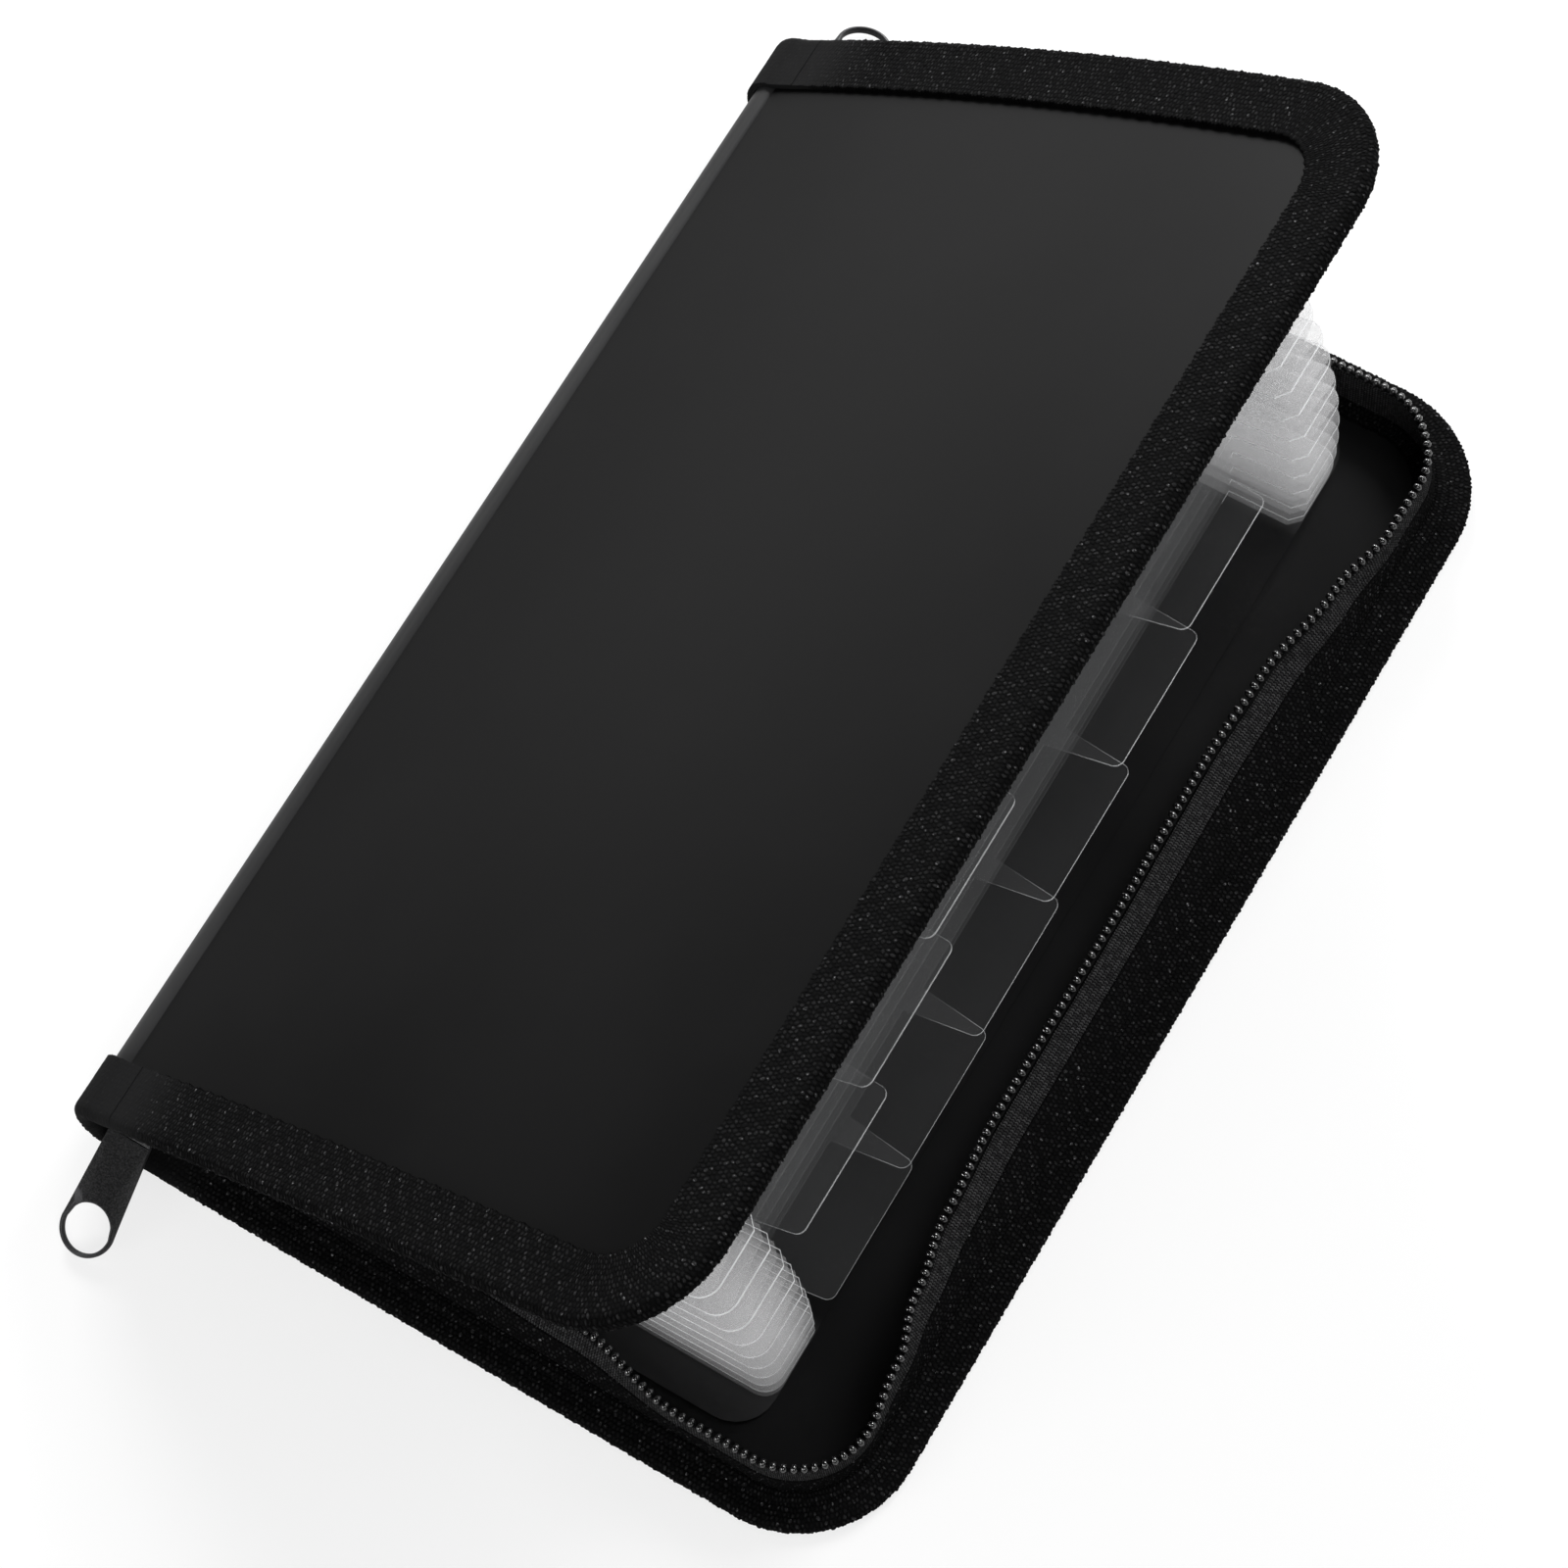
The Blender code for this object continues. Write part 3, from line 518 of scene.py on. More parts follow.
@dataclass(frozen=True)
class Enamel(Finish):
    """Black baked enamel on metal, with a fine speckle and rubbed edges."""

    def wire(self, graph: Graph) -> Wire:
        """Wires the shader; rubbing shows where the surface is convex."""
        speckle = graph.noise(4200.0, 3.0)
        cloud = graph.noise(300.0, 2.0)
        worn = graph.out(graph.node("ShaderNodeNewGeometry", {}, {}), "Pointiness").ease(0.53, 0.60)
        dark = graph.mix(speckle.ease(0.35, 0.72), (0.012, 0.012, 0.0125), (0.036, 0.036, 0.037))
        base = graph.mix(worn * cloud, dark, (0.11, 0.11, 0.115))
        rough = 0.44 - worn * 0.14 + (speckle - 0.5) * 0.2
        normal = graph.bump(speckle, 0.00004)
        return graph.shader(Base_Color=base, Roughness=rough, Metallic=0.25, Normal=normal,
                            Specular_IOR_Level=0.25)


@dataclass
class Skin:
    """Grid surfaces gathered into one mesh."""

    points: list[Array] = field(default_factory=list)
    maps: list[Array] = field(default_factory=list)
    faces: list[list[int]] = field(default_factory=list)
    slots: list[int] = field(default_factory=list)
    count: int = 0

    def grid(self, points: Array, lay: Optional[Array] = None, round_u: bool = False, round_v: bool = False,
             slot: Union[int, Array] = 0, capped: bool = False) -> None:
        """Adds a surface on a grid of points.

        Args:
            points: places, as rows by columns by three.
            lay: the two map lengths of each point, or none where the finish doesn't read them.
            round_u: joins the last row to the first.
            round_v: joins the last column to the first.
            slot: material place of its faces, or of each column's; caps have the lowest.
            capped: closes the first and last row with a face each.
        """
        rows, columns = points.shape[:2]
        index = self.count + np.arange(rows * columns).reshape(rows, columns)
        near, far = (index, np.roll(index, -1, 0)) if round_u else (index[:-1], index[1:])
        if round_v:
            quads = np.stack([near, np.roll(near, -1, 1), np.roll(far, -1, 1), far], -1)
        else:
            quads = np.stack([near[:, :-1], near[:, 1:], far[:, 1:], far[:, :-1]], -1)
        self.slots += np.broadcast_to(slot, quads.shape[:2]).ravel().tolist()
        self.faces += quads.reshape(-1, 4).tolist()
        if capped:
            self.faces += [index[0].tolist(), index[-1].tolist()]
            self.slots += [int(np.min(slot))] * 2
        self.points.append(points.reshape(-1, 3))
        self.maps.append(np.zeros((rows * columns, 2)) if lay is None else lay.reshape(-1, 2))
        self.count += rows * columns

    def many(self, points: Array) -> None:
        """Adds many closed tubes of one kind, given as tubes by rows by columns by three."""
        shape = points.shape[:3]
        index = self.count + np.arange(math.prod(shape)).reshape(shape)
        near, far = index[:, :-1], index[:, 1:]
        quads = np.stack([near, np.roll(near, -1, 2), np.roll(far, -1, 2), far], -1).reshape(-1, 4).tolist()
        quads += index[:, 0].tolist() + index[:, -1].tolist()
        self.faces += quads
        self.slots += [0] * len(quads)
        self.points.append(points.reshape(-1, 3))
        self.maps.append(np.zeros((index.size, 2)))
        self.count += index.size

    def piece(self, name: str, *materials: bpy.types.Material, smooth: float = 35.0) -> bpy.types.Object:
        """Makes the mesh object, with its faces pointing out.

        Args:
            name: the piece's name.
            materials: the materials of its slots.
            smooth: angle in degrees past which an edge stays sharp.

        Returns:
            The new object.
        """
        mesh = bpy.data.meshes.new(name)
        points = np.concatenate(self.points)
        mesh.from_pydata(points.tolist(), [], self.faces)
        mesh.polygons.foreach_set("material_index", np.array(self.slots, np.int32))
        work = bmesh.new()
        work.from_mesh(mesh)
        bmesh.ops.recalc_face_normals(work, faces=work.faces)
        work.to_mesh(mesh)
        work.free()
        corner = np.zeros(len(mesh.loops), np.int32)
        mesh.loops.foreach_get("vertex_index", corner)
        layer = mesh.uv_layers.new(name=TAPE_MAP)
        layer.data.foreach_set("uv", np.concatenate(self.maps)[corner].astype(np.float32).ravel())
        mesh.shade_smooth()
        mesh.set_sharp_from_angle(angle=math.radians(smooth))
        for material in materials:
            mesh.materials.append(material)
        LOG.info("%s: %d faces", name, len(self.faces))
        return placed(name, mesh)


def tube(path: Array, radius: float, sides: int, closed: bool = False) -> Array:
    """Carries a circle along a path.

    Each ring stands square to the path's direction; its first axis is the direction crossed with a fixed
    vector that no part of the path follows.

    Args:
        path: the points of the middle line.
        radius: the tube's radius.
        sides: points round it.
        closed: whether the path comes back to its start.

    Returns:
        The rings as a grid of points.
    """
    if closed:
        ahead = np.roll(path, -1, 0) - np.roll(path, 1, 0)
    else:
        ahead = np.gradient(path, axis=0)
    ahead = unit(ahead)
    spread = np.linalg.svd(path - path.mean(0), full_matrices=False)[2][-1]
    spread = spread + np.array([0.013, 0.007, 0.011])
    first = unit(np.cross(ahead, spread))
    second = np.cross(ahead, first)
    angle = np.linspace(0, 2 * math.pi, sides, endpoint=False)[None, :, None]
    return path[:, None] + radius * (np.cos(angle) * first[:, None] + np.sin(angle) * second[:, None])


@dataclass(frozen=True)
class FolderShape:
    """The folder's driving sizes and the curves that its pieces share."""

    length: float = 0.185
    cover_width: float = 0.115
    sheet: float = 0.0008
    spine_height: float = 0.017
    spine_bulge: float = 0.004
    corner_radius: float = 0.017
    bow_height: float = 0.003
    opening: float = math.radians(34)
    cloth: float = 0.0008
    face: float = 0.009
    inner_face: float = 0.008
    laid_gap: float = 0.00015
    pockets: int = 13
    divider_sheet: float = 0.0003
    divider_start: float = 0.0025
    divider_reach: float = 0.084
    gusset_reach: float = 0.095
    half_divider: float = 0.0775
    gusset_depth: float = 0.0123
    gusset_corner: float = 0.003
    fold_cut: float = 0.0016
    gusset_film: float = 0.00015
    film_gap: float = 0.00012
    fan_rear: float = 0.016
    fan_front: float = 0.001
    pocket_gap: float = 0.011400 / 13
    fan_grading: float = 1.2
    shift: float = -0.054825

    @property
    def plane(self) -> float:
        """Height of the middle of the rear cover's sheet."""
        return self.cloth + self.laid_gap + self.sheet / 2

    @property
    def hinge(self) -> float:
        """Height of the front crease."""
        return self.plane + self.spine_height

    @property
    def low_face(self) -> float:
        """How far off the sheet's middle the tape starts."""
        return self.sheet / 2 + self.laid_gap

    @property
    def high_face(self) -> float:
        """How far off the sheet's middle the tape ends."""
        return self.low_face + self.cloth

    def bow(self, x: Array) -> Array:
        """Rise of the sprung front cover: four times its height by the share along and the rest of it."""
        share = x / self.cover_width
        return self.bow_height * 4 * share * (1 - share)

    def rear(self, x: Array, y: Array, height: Array) -> Array:
        """Puts points that lie on the rear cover's plane into the frame."""
        x, y, height = np.broadcast_arrays(x, y, height)
        return np.stack([x + self.shift, y, height + self.plane], -1)

    def front(self, x: Array, y: Array, height: Array) -> Array:
        """Puts points of the front cover, bowed and turned about its crease, into the frame."""
        x, y, height = np.broadcast_arrays(x, y, height + self.bow(x))
        return self.turned(x, y, height, self.opening)

    def turned(self, x: Array, y: Array, height: Array, angle: Union[float, Array]) -> Array:
        """Turns points about the front crease by an angle that opens the folder."""
        x, y, height = np.broadcast_arrays(x, y, height)
        across = x * np.cos(angle) - height * np.sin(angle)
        up = x * np.sin(angle) + height * np.cos(angle)
        return np.stack([across + self.shift, y, up + self.hinge], -1)

    def spine(self, turn: Array) -> tuple[Array, Array, Array, Array]:
        """Point and outward normal of the spine's half ellipse; turn runs 0 to pi, rear to front."""
        half = self.spine_height / 2
        x, z = -self.spine_bulge * np.sin(turn), half - half * np.cos(turn)
        out_x, out_z = -np.sin(turn) * half, -np.cos(turn) * self.spine_bulge
        size = np.hypot(out_x, out_z)
        return x, z, out_x / size, out_z / size

    def fan_angle(self, level: Union[int, Array]) -> Union[float, Array]:
        """Angle of a fan level above the rear cover."""
        return self.opening * (level / self.pockets) ** self.fan_grading

    def depth(self, level: int, upper: bool) -> float:
        """Depth of one face of a divider below the crease, square to it."""
        low = self.fan_rear - level * self.pocket_gap - (level - 1) * self.divider_sheet
        return low - self.divider_sheet if upper else low

    def edge(self, start: float, count: int) -> tuple[Array, Array, Array, Array, Array]:
        """Walks the three open sides of a cover in even steps.

        Args:
            start: distance from the crease where the walk starts and ends.
            count: number of points.

        Returns:
            Length walked, place along x and y, and outward direction along x and y.
        """
        radius = self.corner_radius
        side, half = self.cover_width - radius, self.length / 2
        straight, bend, mouth = side - start, radius * math.pi / 2, 2 * (half - radius)
        total = 2 * straight + 2 * bend + mouth
        walked = np.linspace(0, total, count)
        back = np.minimum(walked, total - walked)
        sign = np.where(walked <= total / 2, -1.0, 1.0)
        angle = np.clip((back - straight) / bend, 0, 1) * math.pi / 2
        x = start + np.minimum(back, straight) + radius * np.sin(angle)
        past = np.maximum(back - straight - bend, 0)
        y = half - radius + radius * np.cos(angle) - past
        return walked, x, sign * y, np.sin(angle), sign * np.cos(angle)


SHAPE = FolderShape()


@dataclass(frozen=True)
class TapeWrap:
    """Cross-section of a tape folded over an edge, with its thread crowns."""

    outer: float
    inner: float
    relief: float = 0.00012
    thicker: float = 0.0
    worn: float = 0.012
    edge_gain: float = 1.6
    edge_place: float = 0.0004
    edge_width: float = 0.0012
    turned: float = 0.00016
    drift: float = 0.00010
    drift_rate: float = 2311.0

    def section(self) -> tuple[Array, Array, Array, Array, Array]:
        """Outline of the wrap.

        The outer face runs in from the edge, a half circle folds round it, and the inner face runs back;
        a hidden pocket inside takes the sheet.

        Returns:
            Inward place, height, both parts of the outward normal, and length across the tape.
        """
        high, low = SHAPE.high_face + self.thicker, SHAPE.low_face
        face = np.linspace(self.outer, high, 20)[:-1]
        fold = np.linspace(0, math.pi, 11)
        back = np.linspace(high, self.inner, 14)[1:]
        inward = np.concatenate([face, high - high * np.sin(fold), back])
        height = np.concatenate([np.full(face.size, high), high * np.cos(fold), np.full(back.size, -high)])
        out_in = np.concatenate([np.zeros(face.size), -np.sin(fold), np.zeros(back.size)])
        out_up = np.concatenate([np.ones(face.size), np.cos(fold), -np.ones(back.size)])
        step = np.hypot(np.diff(inward), np.diff(height))
        across = np.concatenate([[0], np.cumsum(step)])
        hidden_in = np.array([self.inner, SHAPE.cloth, SHAPE.cloth, self.outer])
        hidden_up = np.array([-low, -low, low, low])
        none = np.zeros(4)
        return (np.concatenate([inward, hidden_in]), np.concatenate([height, hidden_up]),
                np.concatenate([out_in, none]), np.concatenate([out_up, none]),
                np.concatenate([across, np.full(4, across[-1])]))

    def raised(self, along: Array) -> tuple[Array, Array, Array]:
        """Lays the crowns on the wrap.

        Crowns stand along the outward normal, higher round the fold, and fade towards both ends of the
        tape. The two cut edges wave with the threads that turn back there.

        Returns:
            Inward place, height and length across, at each length along.
        """
        inward, height, out_in, out_up, across = self.section()
        back = np.minimum(along, along.max() - along + along.min()) - along.min()
        fresh = np.clip(back / self.worn, 0, 1)
        fresh = (fresh * fresh * (3 - 2 * fresh))[:, None]
        crown = WEAVE.cell(along[:, None], across[None])[0]
        bend = 1 + self.edge_gain * np.exp(-((inward[None] - self.edge_place) / self.edge_width) ** 2)
        lift = self.relief * crown * bend * (fresh * 0.85 + 0.15)
        turned = self.turned * np.cos(2 * math.pi * along[:, None] / WEAVE.pitch) * fresh
        turned = turned + self.drift * np.sin(along[:, None] * self.drift_rate) * fresh
        ends = np.zeros(inward.size)
        first_hidden, last_hidden = -4, -1
        ends[[0, last_hidden, first_hidden - 1, first_hidden]] = 1.0
        place = inward + lift * out_in + turned * ends
        return place, height + lift * out_up, np.broadcast_to(across, place.shape)


@dataclass
class Bindings:
    """Woven tape round the covers' open edges and the spine's ends."""

    finish: bpy.types.Material
    wrap_outer: TapeWrap = TapeWrap(SHAPE.face, SHAPE.inner_face)
    wrap_rear: TapeWrap = TapeWrap(SHAPE.inner_face, SHAPE.face)
    wrap_end: TapeWrap = TapeWrap(SHAPE.face, SHAPE.inner_face, thicker=0.00009)
    start: float = 0.0022
    cover_step: float = 0.00021
    end_step: float = 0.00024
    lead: float = 0.010
    eased: float = 0.0008
    end_run: tuple[float, float] = (0.003, -0.003)
    crease_run: tuple[float, float] = (-0.0130, 0.0052)
    blend_run: tuple[float, float] = (-0.0012, 0.0022)
    flat_edge: tuple[float, float] = (0.0186, 0.396)
    flat_end: tuple[float, float] = (0.0186, 0.0189)
    flat_crease: tuple[float, float] = (0.0186, 0.0111)

    def cover(self, name: str, wrap: TapeWrap, put: Callable[..., Array]) -> bpy.types.Object:
        """Builds the tape of one cover along its edge walk."""
        total = float(SHAPE.edge(self.start, 2)[0][-1])
        walked, x, y, out_x, out_y = SHAPE.edge(self.start, int(total / self.cover_step))
        inward, height, across = wrap.raised(walked)
        along = np.broadcast_to(walked[:, None], inward.shape)
        points = put(x[:, None] - out_x[:, None] * inward, y[:, None] - out_y[:, None] * inward, height)
        skin = Skin()
        skin.grid(points, np.stack([along, across], -1), round_v=True, capped=True)
        return skin.piece(name, self.finish, smooth=60.0)

    def end(self, name: str, side: Side, wrap: TapeWrap, first: float, last: float) -> bpy.types.Object:
        """Builds the tape over one end of the spine.

        The middle line runs along the rear cover, up the spine's half ellipse and out along the front
        cover; first and last are lengths from the two creases, below zero on the spine.

        Args:
            name: the piece's name.
            side: which end.
            wrap: its cross-section.
            first: where it starts, out from the rear crease.
            last: where it ends, out from the front crease.

        Returns:
            The piece.
        """
        turn = np.linspace(0, math.pi, 400)
        x, z, out_x, out_z = SHAPE.spine(turn)
        steps = np.linspace(self.lead, 0, 60)[:-1]
        lean = (math.cos(SHAPE.opening), math.sin(SHAPE.opening))
        ahead = steps[::-1]
        rise = SHAPE.bow(ahead)
        x = np.concatenate([steps, x, ahead * lean[0] - rise * lean[1]])
        z = np.concatenate([0 * steps, z, SHAPE.spine_height + ahead * lean[1] + rise * lean[0]])
        walked = np.concatenate([[0], np.cumsum(np.hypot(np.diff(x), np.diff(z)))])
        begin, end = self.lead - first, walked[-1] - self.lead + last
        along = np.linspace(begin, end, int((end - begin) / self.end_step))
        knots = np.linspace(0, walked[-1], 60)
        blur = np.exp(-0.5 * ((walked[:, None] - knots[None]) / self.eased) ** 2)
        blur = blur / blur.sum(0)
        x_eased, z_eased = np.interp(along, knots, x @ blur), np.interp(along, knots, z @ blur)
        go_x, go_z = np.gradient(x_eased, along), np.gradient(z_eased, along)
        kernel = np.ones(5) / 5
        go_x = np.convolve(np.pad(go_x, 2, "edge"), kernel, "valid")
        go_z = np.convolve(np.pad(go_z, 2, "edge"), kernel, "valid")
        size = np.hypot(go_x, go_z)
        normal_x, normal_z = -go_z / size, go_x / size
        inward, height, across = wrap.raised(along)
        px = x_eased[:, None] + normal_x[:, None] * height
        pz = z_eased[:, None] + normal_z[:, None] * height
        points = SHAPE.rear(px, side.value * (SHAPE.length / 2 - inward), pz)
        skin = Skin()
        lay = np.stack([np.broadcast_to(along[:, None], inward.shape), across], -1)
        skin.grid(points, lay, round_v=True, capped=True)
        return skin.piece(name, self.finish, smooth=60.0)

    def build(self) -> None:
        """Builds the four tapes and the two that cross the front crease."""
        rear = self.cover("rear_edge_tape", self.wrap_rear, SHAPE.rear)
        front = self.cover("front_edge_tape", self.wrap_outer, SHAPE.front)
        for piece, body, node in ((rear, "root", "rear_binding"), (front, "front_cover", "front_binding")):
            stand_in(piece, body, node)
        for side in Side:
            piece = self.end(f"spine_end_tape_{side.label}", side, self.wrap_outer, *self.end_run)
            stand_in(piece, "root", f"spine_end_binding_{side.label}")
            bridge = self.end(f"crease_tape_{side.label}", side, self.wrap_end, *self.crease_run)
            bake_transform(bridge)


@dataclass
class Covers:
    """The plastic shell: front cover and spine as smooth surfaces; the flat rear cover stays as packed."""

    finish: bpy.types.Material
    # bent is the spine's plastic, a paler copy of the cover plastic: painted sheen.
    bent: bpy.types.Material
    inside: bpy.types.Material
    smoke: bpy.types.Material
    start: float = 0.00045

    def front(self) -> bpy.types.Object:
        """Builds the bowed front cover as a thin closed shell with round mouth corners.

        The half width at each distance from the crease is full until the corner and then follows its
        circle.
        """
        inset = SHAPE.cloth + SHAPE.laid_gap
        half, reach, radius = SHAPE.length / 2 - inset, SHAPE.cover_width - inset, SHAPE.corner_radius - inset
        straight = np.linspace(self.start, reach - radius, 60)
        angle = np.linspace(0, math.pi / 2, 14)[1:]
        x = np.concatenate([straight, reach - radius + radius * np.sin(angle)])
        wide = np.concatenate([np.full(straight.size, half), half - radius + radius * np.cos(angle)])
        share = np.linspace(-1, 1, 25)
        across = wide[:, None] * share
        thick = SHAPE.sheet / 2
        top = SHAPE.front(x[:, None], across, thick)
        low = SHAPE.front(x[:, None], across[:, ::-1], -thick)
        skin = Skin()
        skin.grid(np.concatenate([top, low], 1), round_v=True, capped=True)
        return skin.piece("front_cover_sheet", self.finish, smooth=50.0)

    def spine(self) -> bpy.types.Object:
        """Builds the bulged spine with a pressed bead along the front crease."""
        half = SHAPE.length / 2 - SHAPE.cloth - SHAPE.laid_gap
        turn = np.linspace(0.02, math.pi, 64)
        x, z, out_x, out_z = SHAPE.spine(turn)
        thick = SHAPE.sheet / 2
        angle = np.linspace(math.pi / 2, -math.pi / 2, 10)[1:-1]
        bead_x, bead_z = thick * np.cos(angle), SHAPE.spine_height + thick * np.sin(angle)
        profile_x = np.concatenate([x + out_x * thick, bead_x, (x - out_x * thick)[::-1]])
        profile_z = np.concatenate([z + out_z * thick, bead_z, (z - out_z * thick)[::-1]])
        y = np.linspace(-half, half, 21)
        points = SHAPE.rear(profile_x[None], y[:, None], profile_z[None])
        skin = Skin()
        skin.grid(points, round_v=True, capped=True)
        return skin.piece("spine_sheet", self.bent, smooth=50.0)

    def build(self) -> None:
        """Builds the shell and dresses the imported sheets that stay."""
        for piece, body, node in ((self.front(), "front_cover", "front_cover"),
                                  (self.spine(), "root", "spine_panel")):
            stand_in(piece, body, node)
        for node, material in (("rear_cover", self.inside), ("rear_mount_sheet", self.smoke),
                               ("front_mount_sheet", self.smoke)):
            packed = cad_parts[node]
            packed.data.materials.clear()
            packed.data.materials.append(material)


@dataclass
class Accordion:
    """Twelve tabbed dividers and thirteen pockets closed by folded film."""

    sheet: bpy.types.Material
    frost: bpy.types.Material
    dense: bpy.types.Material
    edge: bpy.types.Material
    tabs: int = 6
    dense_from: int = 5
    tab_near_gap: float = 0.00145
    tab_far_gap: float = 0.0077
    tab_splay: float = 0.00115
    tab_overlap: float = 0.0027
    tab_corner: float = 0.0014
    wave: float = 0.00005
    line: float = 0.000056
    line_proud: float = 0.00003
    upper_share: float = 0.942
    lowest_share: float = 1.02
    strip_half: float = 0.0652
    belly: float = 0.10

    def outline(self, tab: int) -> tuple[Array, Array]:
        """Mouth side of a divider, from one ear to the other.

        Args:
            tab: which of the tab places it has.

        Returns:
            Place along y, never falling, and reach along x: ear, step, tab, step and ear, with a circle at
            each outer corner, a short cut at each fold and sloping sides on the tab.
        """
        half, reach, base = SHAPE.half_divider, SHAPE.gusset_reach, SHAPE.divider_reach
        ear, cut = half - SHAPE.gusset_depth, SHAPE.fold_cut
        bend, small = SHAPE.gusset_corner, self.tab_corner
        row = 2 * (ear - self.tab_splay) - self.tab_near_gap - self.tab_far_gap
        pitch = (row - self.tab_overlap) / self.tabs
        low = -ear + self.tab_near_gap + self.tab_splay + tab * pitch
        high = low + pitch + self.tab_overlap
        turn = np.linspace(0, math.pi / 2, 9)
        rise, fall = np.sin(turn), np.cos(turn)
        y = [-half + bend * (1 - fall), np.array([-ear - cut, -ear, -ear, low - self.tab_splay]),
             low + small * (1 - fall), high - small + small * rise,
             np.array([high + self.tab_splay, ear, ear, ear + cut]), half - bend + bend * rise]
        x = [reach - bend + bend * rise, np.array([reach, reach - cut, base, base]),
             reach - small + small * rise, reach - small + small * fall,
             np.array([base, base, reach - cut, reach]), reach - bend + bend * fall]
        return np.concatenate(y), np.concatenate(x)

    def sway(self, level: int, x: Array, y: Array) -> Array:
        """Slight waviness of a free sheet, nothing at its ears and little near the spine."""
        free = np.clip(1 - (np.abs(y) / 0.066) ** 2, 0, 1) * np.clip(x / 0.09, 0, 1) ** 2
        return self.wave * free * np.sin(y * (58 + 9 * level) + level * 2.1)

    def divider(self, level: int) -> None:
        """Builds one divider: a thin sheet with a painted highlight along its cut edge.

        The edge's finish reads how bright it is from its map, so the upper dividers' maps fall a little
        short of the sheet and the lowest one's reaches past it.
        """
        y, reach = self.outline((level - 1) % self.tabs)
        angle = SHAPE.fan_angle(level)
        low, high = -SHAPE.depth(level, False), -SHAPE.depth(level, True)
        start = SHAPE.divider_start
        share = np.linspace(0, 1, 13)[:, None]
        x = start + (reach[None] - start) * share
        wide = np.broadcast_to(y, x.shape)
        lift = self.sway(level, x, wide)
        top = SHAPE.turned(x, wide, high + lift, angle)
        under = SHAPE.turned(x, wide, low + lift, angle)
        lay = np.stack([x, wide], -1)
        skin = Skin()
        skin.grid(np.concatenate([top, under[:, ::-1]], 1), np.concatenate([lay, lay[:, ::-1]], 1),
                  round_v=True)
        for row in (-1, 0):
            skin.grid(np.stack([top[row], under[row]]), np.stack([lay[row], lay[row]]), slot=1)
        line_y = np.concatenate([[-SHAPE.half_divider], y, [SHAPE.half_divider]])
        line_x = np.concatenate([[start], reach, [start]])
        line_up = (low + high) / 2 + self.sway(level, line_x, line_y)
        path = np.stack([line_x, line_y, line_up], -1)
        keep = np.concatenate([[True], np.linalg.norm(np.diff(path, axis=0), axis=1) > 1e-6])
        path = path[keep]
        rings = self.bead(path, self.line, abs(high - low) / 2 + self.line_proud)
        flat = path[:, None, :2] * (self.upper_share if level > self.tabs else 1.0,
                                    self.lowest_share if level == 1 else 1.0)
        flat = np.broadcast_to(flat, (*rings.shape[:2], 2))
        line = SHAPE.turned(rings[..., 0], rings[..., 1], rings[..., 2], angle)
        skin.grid(line, flat, round_v=True, slot=1, capped=True)
        piece = skin.piece(f"divider_sheet_{level:02d}", self.sheet, self.edge, smooth=40.0)
        stand_in(piece, f"divider_{level:02d}", f"divider_{level:02d}")

    @staticmethod
    def bead(path: Array, half: float, thick: float) -> Array:
        """Diamond-shaped rim carried along a flat path, half wide each way and thick up and down."""
        ahead = unit(np.gradient(path[:, :2], axis=0))
        side = np.stack([ahead[:, 1], -ahead[:, 0], np.zeros(len(path))], -1)
        up = np.array([0.0, 0.0, 1.0])
        return np.stack([path + side * half, path + up * thick, path - side * half, path - up * thick], 1)

    def pocket_point(self, pocket: int, along: Array, y: Array, share: Array) -> Array:
        """A point in a pocket, by its distance from the hinge and its share from lower to upper sheet."""
        low = SHAPE.fan_rear if pocket == 0 else SHAPE.depth(pocket, True)
        last = pocket == SHAPE.pockets - 1
        high = SHAPE.fan_front - SHAPE.bow(along) if last else SHAPE.depth(pocket + 1, False)
        angle = SHAPE.fan_angle(pocket) * (1 - share) + SHAPE.fan_angle(pocket + 1) * share
        deep = low + (high - low) * share
        return SHAPE.turned(along, y, -deep, angle)

    def leaf(self, pocket: int, along: Array, corner: Array) -> tuple[Array, Array]:
        """Outline of the folded film at each distance from the hinge.

        Two leaves run in from the sheets' ends and meet at a fold; each bellies a little on the way.

        Returns:
            Inward place and share of the pocket's height, as stations by points.
        """
        foot = self.pocket_point(pocket, along, 0 * along, 0 * along)
        head = self.pocket_point(pocket, along, 0 * along, 0 * along + 1)
        tall = np.linalg.norm(head - foot, axis=1)
        seat, film = SHAPE.film_gap / tall, SHAPE.gusset_film / tall
        joined = SHAPE.gusset_depth - SHAPE.gusset_corner
        low = seat + (0.5 - film - seat) * corner / joined
        run = np.linspace(0, 1, 9)
        belly = run + self.belly * np.sin(run * math.pi)
        cut = np.clip(along - SHAPE.gusset_reach + SHAPE.fold_cut, 0, None)
        start, end = corner[:, None], (SHAPE.gusset_depth - cut)[:, None]
        inward = start + (joined - start) * run
        outer = low[:, None] + (0.5 - film - low)[:, None] * belly
        outer = np.minimum(outer, (0.5 - film)[:, None])
        inner = np.minimum(outer + film[:, None], 0.5)
        places = [inward, end, end, inward[:, ::-1], inward, inward[:, ::-1]]
        shares = [outer, (0.5 - film)[:, None], (0.5 + film)[:, None], (1 - outer)[:, ::-1], 1 - inner,
                  inner[:, ::-1]]
        return np.concatenate(places, 1), np.concatenate(shares, 1)

